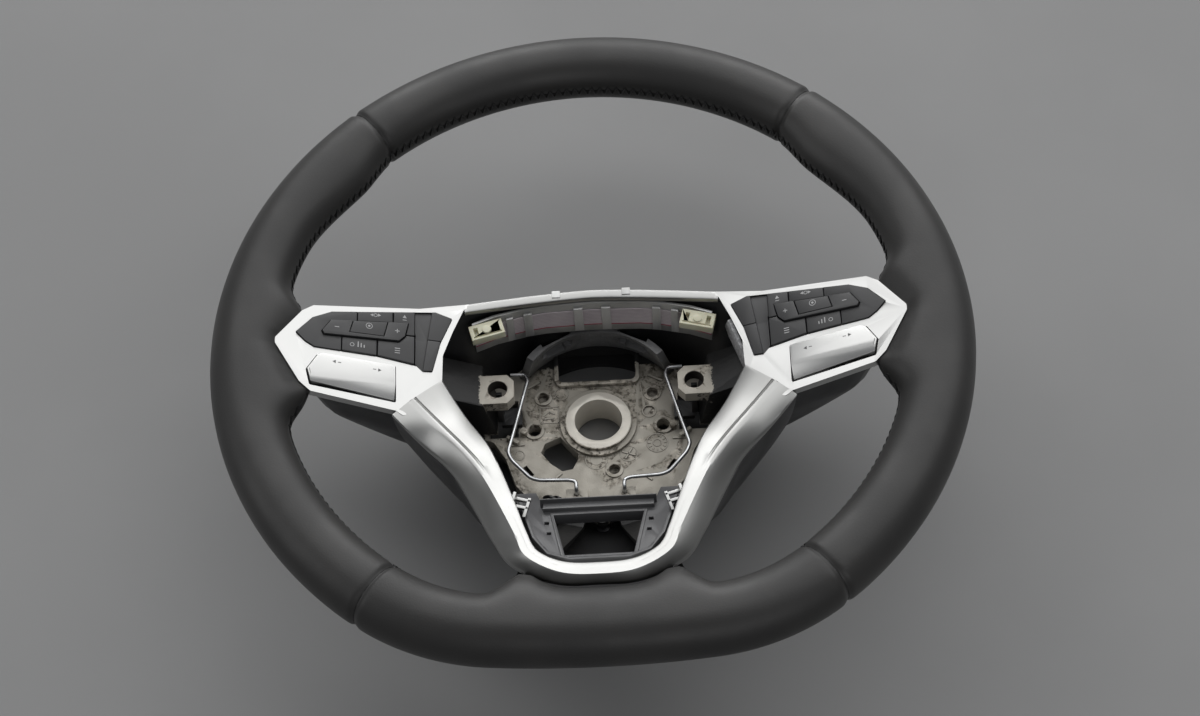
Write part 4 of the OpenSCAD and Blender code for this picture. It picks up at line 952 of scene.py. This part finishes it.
def arm_ring(row):
    """The arm's section: wall, inner wedge, groove, ridge band and the long outer slope."""
    inner = Vector((row[0], row[1], arm_z(row[2], row[3])))
    inner.z = arm_z(row[0], row[1])
    ridge = Vector((row[2], row[3], arm_z(row[2], row[3])))
    outer = Vector((row[4], row[5], ridge.z - ARM_DROP * row[6]))
    flat = Vector((inner.x - outer.x, inner.y - outer.y, 0)).normalized()
    down = Vector((0, 0, -1))
    wide = (ridge - inner).length
    band = min(2.4, 0.35 * wide)
    groove = min(0.9, 0.14 * wide)
    sharp = ease((row[3] + 76) / 20)
    span = ridge - inner
    step = span.normalized()
    top = [
        inner + down * OPENING_WALL_H,
        inner + down * 0.9,
        inner + down * 0.25 + step * 0.25,
        inner + step * 0.9,
        inner + span * 0.5,
        ridge - step * (band + groove * 1.5),
        ridge - step * (band + groove) + down * 0.55 * sharp,
        ridge - step * (band + groove * 0.55) + down * 0.55 * sharp,
        ridge - step * band + down * 0.08 * sharp,
        ridge - step * band * 0.55 + down * -0.12 * sharp,
    ]
    slope = []
    for t in (0.0, 0.07, 0.18, 0.34, 0.52, 0.7, 0.86, 0.96):
        bulge = ARM_DROP * row[6] * 0.3 * t * (1 - t)
        slope.append(ridge.lerp(outer, t) + Vector((0, 0, bulge - 0.35 * sharp * dip(t, 0.05))))
    under = [
        outer + down * 0.45 + flat * 0.05,
        outer + down * EDGE_T,
        outer + flat * WALL_T + down * EDGE_T,
    ]
    middle = (ridge + outer) / 2 + Vector((0, 0, ARM_DROP * row[6] * 0.14))
    back = [
        middle + down * BEZEL_T,
        ridge + down * BEZEL_T,
        inner - flat * WALL_T + down * BEZEL_T,
        inner - flat * WALL_T + down * OPENING_WALL_H,
    ]
    return [p * MM for p in [*top, *slope, *under, *back]]


def arms():
    half = [list(r) for r in ARM_ROWS]
    mirrored = [[-r[0], r[1], -r[2], r[3], -r[4], r[5], r[6]] for r in reversed(half[:-1])]
    return loft("bezel_arms", [arm_ring(r) for r in smooth_rows(half + mirrored, 9)])


def top_bar():
    """The thin arch between the spokes, round on top."""
    rings = []
    count = 48
    for i in range(count + 1):
        x = lerp(-BAR_SPAN, BAR_SPAN, i / count)
        y, z = bar_y(x), bar_z(x)
        low = z - BAR_H
        section = [
            (y - 1.2, low), (y - 1.2, z - 3), (y - 4.6, z - 3), (y - 5, z - 2.6), (y - 5, z - 0.9),
            (y - 4.7, z - 0.3), (y - 4.0, z), (y - 2.4, z), (y - 0.8, z), (y - 0.25, z - 0.25),
            (y, z - 0.9), (y, low),
        ]
        rings.append([Vector((x, q, h)) * MM for q, h in section])
    return loft("bezel_bar", rings)


def spoke_plate(side):
    """The face of one spoke with its openings, its skirt and the wall along the airbag's space."""
    edge = rounded(SPOKE_EDGE, 2.2)
    plate = block("bezel_plate", edge, -SKIRT_H, 0, side)
    cut(plate, block("hollow", rounded(offset(HOLLOW_EDGE, -1.8), 1.2), -SKIRT_H - 1, -BEZEL_T, side))
    cut(plate, block("skirt_end", SKIRT_END, -SKIRT_H - 1, -BEZEL_T, side))
    cut(plate, block("pad_opening", rounded(offset(PAD_EDGE, 0.4), 1.0), -SKIRT_H - 2, 2, side))
    cut(plate, block("rocker_opening", rounded(offset(ROCKER_EDGE, 0.6), 1.2), -SKIRT_H - 2, 2, side))
    bevel(plate, 0.5, 3)
    wall = PLATE_INNER + [(u + WALL_T, v) for u, v in reversed(PLATE_INNER)]
    strip = bevel(block("bezel_wall", wall, -OPENING_WALL_H, -0.3, side), 0.2)
    return [plate, strip]


def bezel_hooks(side):
    """The bent hooks below the arms that hold the carrier."""
    parts = []
    at = Vector((38, -79, arm_z(38, -79) - OPENING_WALL_H - 0.8))
    turn = Matrix.Rotation(math.radians(17), 3, "Z")
    for x0, x1, y0, y1, high in (
        (-6.3, 2.8, -0.1, 1.5, 2), (-6.3, 2.8, -4.1, -2.5, 2), (-6.3, -4.7, -8.3, 2.3, 2),
        (0.7, 2.3, -8.3, 2.3, 5),
    ):
        deselect()
        bpy.ops.mesh.primitive_cube_add(size=1)
        bar = bpy.context.active_object
        for vertex in bar.data.vertices:
            across, along, up = vertex.co + Vector((0.5, 0.5, 0.5))
            p = turn @ Vector((lerp(x0, x1, across), lerp(y0, y1, along), up * high)) + at
            vertex.co = Vector((side * p.x, p.y, p.z)) * MM
        parts.append(bevel(outward(bar), 0.35))
    return parts


def bezel():
    parts = [arms(), top_bar()]
    for _, side in SIDES:
        parts += spoke_plate(side)
        parts += bezel_hooks(side)
    finished(joined("silver_bezel", parts), SILVER, nodes=["bezel"], angle=38)


bezel()


# The rear cover


def cover_outline():
    """Points of the cover's front edge, each with its bulge and how deep its shoulder is."""
    half = []
    for x in (0, 14, 28, 42, 55):
        half.append((x, bar_y(x) - 0.4, bar_z(x) - BAR_H - COVER_GAP, 4 * ease((x - 14) / 30), 0))
    for u, v in (
        (76, 34), (94, 30.6), (116, 28.2), (134, 26.2), (145, 22), (148.5, 12), (149.5, 3), (147.5, -8),
        (144.5, -19), (139, -23), (120, -25.6), (103, -27.8),
    ):
        x = u * math.cos(SLOPE)
        half.append((x, v, face_z(x) - (SKIRT_H + COVER_GAP) / math.cos(SLOPE), 0, ease((x - 68) / 22)))
    rows = smooth_rows(ARM_ROWS, 2)
    for i in (0, 1, 2, 4, 6, 8, 10, 12, 14, 16):
        r = rows[i]
        z = arm_z(r[2], r[3]) - ARM_DROP * r[6] - EDGE_T - COVER_GAP
        tuck = 1 - 0.03 * ease((i - 8) / 6)
        half.append((r[4] * tuck, r[5] * tuck, z, 7 * ease((11 - i) / 6), 0.5 * ease((i - 8) / 6)))
    other = [(-p[0], *p[1:]) for p in reversed(half[1:-1])]
    return half + other


def cover_point(p, t):
    """A point of the cover from the ring at the back, t = 0, to its front edge at p, t = 1."""
    r = math.hypot(p[0], p[1])
    shoulder = lerp(0.93, 1, (t - 0.8) / 0.2) if t > 0.8 else 0.93 * (t / 0.8) ** 0.8
    radius = RING_R + (r - RING_R) * lerp(t**0.7, shoulder, p[4]) + p[3] * math.sin(math.pi * t)
    return Vector((p[0] / r * radius, p[1] / r * radius, lerp(COVER_BACK, p[2], t))) * MM


def rear_cover():
    outline = cover_outline()
    closed = [outline[-1], *outline, outline[0], outline[1]]
    fine = []
    for i in range(1, len(outline) + 1):
        a, b, c, d = closed[i - 1], closed[i], closed[i + 1], closed[i + 2]
        for s in range(3):
            fine.append([lerp(b[k], c[k], s / 3) for k in range(5)])
    levels = [0.03, 0.07, 0.12, 0.2, 0.3, 0.4, 0.5, 0.6, 0.7, 0.77, 0.81, 0.86, 0.91, 0.96, 1]

    def inset(ring, d):
        out = []
        for i, p in enumerate(ring):
            a, b = ring[i - 1], ring[(i + 1) % len(ring)]
            v = Vector((b.x - a.x, b.y - a.y, 0)).normalized()
            out.append(p + Vector((v.y, -v.x, 0)) * d * MM)
        return out

    def flat(r, z):
        sizes = [r / math.hypot(p[0], p[1]) for p in fine]
        return [Vector((p[0] * k, p[1] * k, z)) * MM for p, k in zip(fine, sizes)]

    rings = [flat(RING_R - 1.5, COVER_BACK)]
    rings += [[cover_point(p, t) for p in fine] for t in levels]
    rings += [inset([cover_point(p, t) for p in fine], 2.6) for t in reversed(levels[1:])]
    rings += [flat(56.4, COVER_BACK + 2.6), flat(46, COVER_BACK + 2.6), flat(46, COVER_BACK)]
    cover = loft("rear_cover_shell", rings, loop=True)
    for angle in (30, 150, 270):
        at = Matrix.Rotation(math.radians(angle), 3, "Z") @ Vector((51, 0, 0))
        deselect()
        bpy.ops.mesh.primitive_cylinder_add(
            vertices=40, radius=4.1 * MM, depth=8 * MM, location=(at.x * MM, at.y * MM, -21.6 * MM)
        )
        cut(cover, bpy.context.active_object)
    finished(cover, BLACK, nodes=["rear_cover"], angle=40)


rear_cover()


# Solids of the part, with their edges rounded


def softened(node, name, material, width, segments=2, body=BODY):
    """A copy of a solid, merged, its flat faces made whole and its edges rounded."""
    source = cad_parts[node]
    piece = bpy.data.objects.new(name, source.data.copy())
    bpy.context.scene.collection.objects.link(piece)
    piece.data.name = name
    choose(piece)
    bpy.ops.object.mode_set(mode="EDIT")
    bpy.ops.mesh.select_all(action="SELECT")
    bpy.ops.mesh.remove_doubles(threshold=2e-6)
    bpy.ops.mesh.dissolve_limited(angle_limit=math.radians(0.6))
    bpy.ops.object.mode_set(mode="OBJECT")
    if piece.data.has_custom_normals:
        bpy.ops.mesh.customdata_custom_splitnormals_clear()
    bevel(piece, width, segments)
    finished(piece, material, body=body, nodes=[node])


def disc_shape(radius, count=20):
    turns = [math.tau * k / count for k in range(count)]
    return [(radius * math.cos(t), radius * math.sin(t)) for t in turns]


def bar_shape(length, width, turn=0.0):
    c, s = math.cos(math.radians(turn)), math.sin(math.radians(turn))
    corners = ((-length, -width), (length, -width), (length, width), (-length, width))
    return [((x * c - y * s) / 2, (x * s + y * c) / 2) for x, y in corners]


def raised(name, spot, shape, low, high, place):
    """A small straight-sided shape standing on a face; place turns its points into space."""
    return prism(name, *([place(spot[0] + x, spot[1] + y, h) for x, y in shape] for h in (low, high)))


def raised_ring(name, spot, outer, inner, low, high, place, count=28):
    rings = []
    for k in range(count):
        c, s = math.cos(math.tau * k / count), math.sin(math.tau * k / count)
        section = ((outer, low), (outer, high), (inner, high), (inner, low))
        rings.append([place(spot[0] + r * c, spot[1] + r * s, h) for r, h in section])
    return loft(name, rings, loop=True)


def casting_marks():
    """Raised marks of the casting tool on the hub plate: rings, ticks, ribs and a square."""
    low, top = -PLATE_DROP - 0.4, -PLATE_DROP + 0.35
    parts = []

    def on_plate(x, y, z):
        return Vector((x, y, z)) * MM

    def bar(x, y, length, width, turn, rise=0.0):
        parts.append(raised("bar", (x, y), bar_shape(length, width, turn), low, top + rise, on_plate))

    for x, y, outer, inner, rise in (
        (29.5, -13, 5.6, 5.2, 0), (29.5, -13, 2.2, 1.9, 0), (14.7, -18.5, 4.6, 4.25, -0.1),
        (-1.9, -21.3, 5.6, 5.2, -0.1), (-18.7, 18.9, 3.6, 3.3, -0.1), (-41, -16.5, 2.8, 2.5, -0.1),
        (26.2, 6.1, 3.7, 3.15, 0),
    ):
        parts.append(raised_ring("ring", (x, y), outer, inner, low, top + rise, on_plate))
    parts.append(raised("disc", (-1.9, -21.3), disc_shape(3.0), low, top - 0.15, on_plate))
    for turn in range(0, 360, 30):
        x, y = math.cos(math.radians(turn)), math.sin(math.radians(turn))
        bar(29.5 + 4.1 * x, -13 + 4.1 * y, 1.5, 0.35, turn)
    for turn in (60, -20):
        bar(14.7, -18.5, 7, 0.7, turn, 0.2)
    for dx, dy, turn in ((0, 4.7, 0), (0, -4.7, 0), (4.7, 0, 90), (-4.7, 0, 90)):
        bar(-25.3 + dx, 6.6 + dy, 9.8, 0.4, turn, -0.05)
    for dx, dy, length, turn in ((-1.5, 1, 4, 40), (1.6, 1.4, 3, -35), (0, -2, 5, 5)):
        bar(-25.3 + dx, 6.6 + dy, length, 0.9, turn)
    for x, y, length, turn in (
        (-41.9, -10.4, 7.5, 0), (41.2, -10.6, 7.5, 0), (42.4, 2.2, 3.5, 0), (-40.4, 3.6, 3, 0),
        (23.9, -32.8, 5.5, -38), (-21.2, -29.6, 4, 40), (30.1, 26, 8, -28), (-33, 25, 7, 30),
    ):
        bar(x, y, length, 1.0, turn, 0.3)
    finished(joined("casting_tool_marks", parts), CAST, angle=30)


softened("armature", "cast_frame", CAST, 0.7)
casting_marks()
for node, name, slot, material, width in (
    ("hub_foam", "hub_foam_wall", "foam", FOAM, 0.8),
    ("lower_carrier", "carrier_tray", "grey_plastic", CARRIER, 0.35),
    ("cable_rail", "rail_with_clips", "grey_plastic", STEEL_GREY, 0.25),
    ("side_module", "module_plate", "light_plastic", LABEL, 0.4),
    ("cover_screws", "cover_screw_set", "wire", SCREW, 0.3),
):
    softened(node, name, material, width)
softened("ribbon_cable", "flat_cable_band", RIBBON, 0.1, 1)
for label, side in SIDES:
    softened(f"connector_{label}", f"cream_connector_{label}", CREAM, 0.3)
    softened(f"lug_clip_{label}", f"lug_prongs_{label}", BLACK, 0.25)
    softened(f"switch_housing_{label}", f"key_box_{label}", BLACK, 0.3)
    softened(f"key_frame_{label}", f"pad_frame_{label}", KEY, 0.35, 3)
    for key in ("upper_key", "upper_inner_key", "lower_key", "lower_inner_key", "rocking_bar", "centre_key"):
        node = f"{key}_{label}"
        softened(node, f"{node}_cap", KEY, 0.4, 3, body=node)
    node = f"silver_rocker_{label}"
    softened(node, f"{node}_cap", LIT_ROCKER_SILVER, 0.7, 3, body=node)


def triangle_shape(size, turn=0.0):
    corners = [math.radians(turn + a) for a in (90, 210, 330)]
    return [(size * math.cos(t), size * math.sin(t)) for t in corners]


def key_marks(label, side):
    """Plain marks printed on the keys: bars, rings and arrows, without letters."""

    def on_face(u, v, w):
        return on_spoke(u, v, w, side)

    def mark(key, top, shapes, material=MARK):
        low, high = top - 0.05, top + 0.025
        node = f"{key}_{label}"
        parts = []
        for u, v, shape in shapes:
            if isinstance(shape, (int, float)):
                parts.append(raised_ring("mark", (u, v), shape, shape - 0.3, low, high, on_face, 24))
            else:
                parts.append(raised("mark", (u, v), shape, low, high, on_face))
        finished(joined(f"{node}_marks", parts), material, body=node, angle=20)

    line, dash, post = bar_shape(2.6, 0.4), bar_shape(1.6, 0.4), bar_shape(0.4, 2.2)
    mark("upper_inner_key", KEY_TOP, [(97.6, 25.2, triangle_shape(1.2)), (97.6, 23.4, bar_shape(2, 0.35))])
    arrows = [(110.5, 24.3, triangle_shape(1.0, 90)), (113.9, 24.0, triangle_shape(1.0, -90))]
    mark("upper_key", KEY_TOP, [*arrows, (112.2, 24.1, 1.0)])
    steps = [(117.5 + 1.5 * i, 5 + 0.4 * i, bar_shape(0.5, 1.6 + 0.8 * i)) for i in range(3)]
    mark("lower_key", KEY_TOP, [*steps, (123.5, 5.3, 1.1)])
    mark("lower_inner_key", KEY_TOP, [(101, 5, line), (101, 6.3, line), (101, 3.7, line)])
    signs = [(101.4, 15.8, bar_shape(2.2, 0.4)), (131.4, 13.8, bar_shape(2.2, 0.4)), (101.4, 15.8, post)]
    mark("rocking_bar", ROCKING_TOP, signs)
    mark("centre_key", ROCKING_TOP - 0.2, [(115.4, 16.8, 1.7), (115.4, 16.8, disc_shape(0.6, 12))])
    ends = [(110, -8.4, triangle_shape(1.1, 90)), (132, -6.6, triangle_shape(1.1, -90))]
    mark("silver_rocker", ROCKER_TOP, [*ends, (112.4, -8.2, dash), (129.6, -6.8, dash)], DARK_MARK)


for label, side in SIDES:
    key_marks(label, side)


def bar_clips():
    """Two small staples of the rail that grip the top bar."""
    parts = []
    for middle in (-17.6, 17.6):
        y, z = bar_y(middle), bar_z(middle)
        section = [
            (y - 3.4, z - 0.1), (y + 0.05, z - 0.1), (y + 0.05, z - 4.4), (y + 0.75, z - 4.4),
            (y + 0.75, z + 0.3), (y + 0.4, z + 0.65), (y - 3.4, z + 0.65),
        ]
        ends = [[Vector((x, q, h)) * MM for q, h in section] for x in (middle - 2.1, middle + 2.1)]
        parts.append(bevel(prism("clip", *ends), 0.2))
    finished(joined("top_bar_clips", parts), STRAP)


bar_clips()

# Solids inside the wheel keep their shape and get their finish
hidden = [("rim_foam", CORE)]
for label, _ in SIDES:
    hidden += [(f"switch_board_{label}", BOARD), (f"dome_mat_{label}", MAT)]
for node, material in hidden:
    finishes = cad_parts[node].data.materials
    finishes.clear()
    finishes.append(material)


# Bent wires

WIRE_Z = 8.5
WIRE_LINE = [
    (44.2, 24.5), (36.6, 24.3), (35.3, 20.6), (44.9, -17.1), (46, -21.3), (44.2, -26), (34.8, -37),
    (30.6, -38.6), (15.4, -39.3), (12, -40.4), (12, -45),
]
WIRE_PATH = [*((x, y, WIRE_Z) for x, y in WIRE_LINE), (12, -45, 1.1)]
springs = []
for _, side in SIDES:
    route = bent([(side * x, y, z) for x, y, z in WIRE_PATH], 2.2)
    springs.append(tube("spring", route, 1.0, 14))
finished(joined("spring_wires", springs), ZINC, nodes=["retaining_wires"], angle=60)

LOOP_PATH = [
    (-26, -47, -3), (-27.5, -47.5, 2), (-28, -49, 9), (-25, -51.5, 14), (-21.5, -53.5, 13), (-19.5, -54.8, 7),
    (-21, -56, 3), (-24.5, -57.5, -2),
]
loops = [tube("loop", smooth_rows(LOOP_PATH, 8), 0.9, 12)]
near = [(x * 0.8 - 1.2, y + 0.4, z * 0.9 - 0.4) for x, y, z in LOOP_PATH]
loops.append(tube("loop", smooth_rows(near, 8), 0.9, 12))
finished(joined("black_wires", loops), WIRE_SKIN, nodes=["wire_loop"], angle=60)
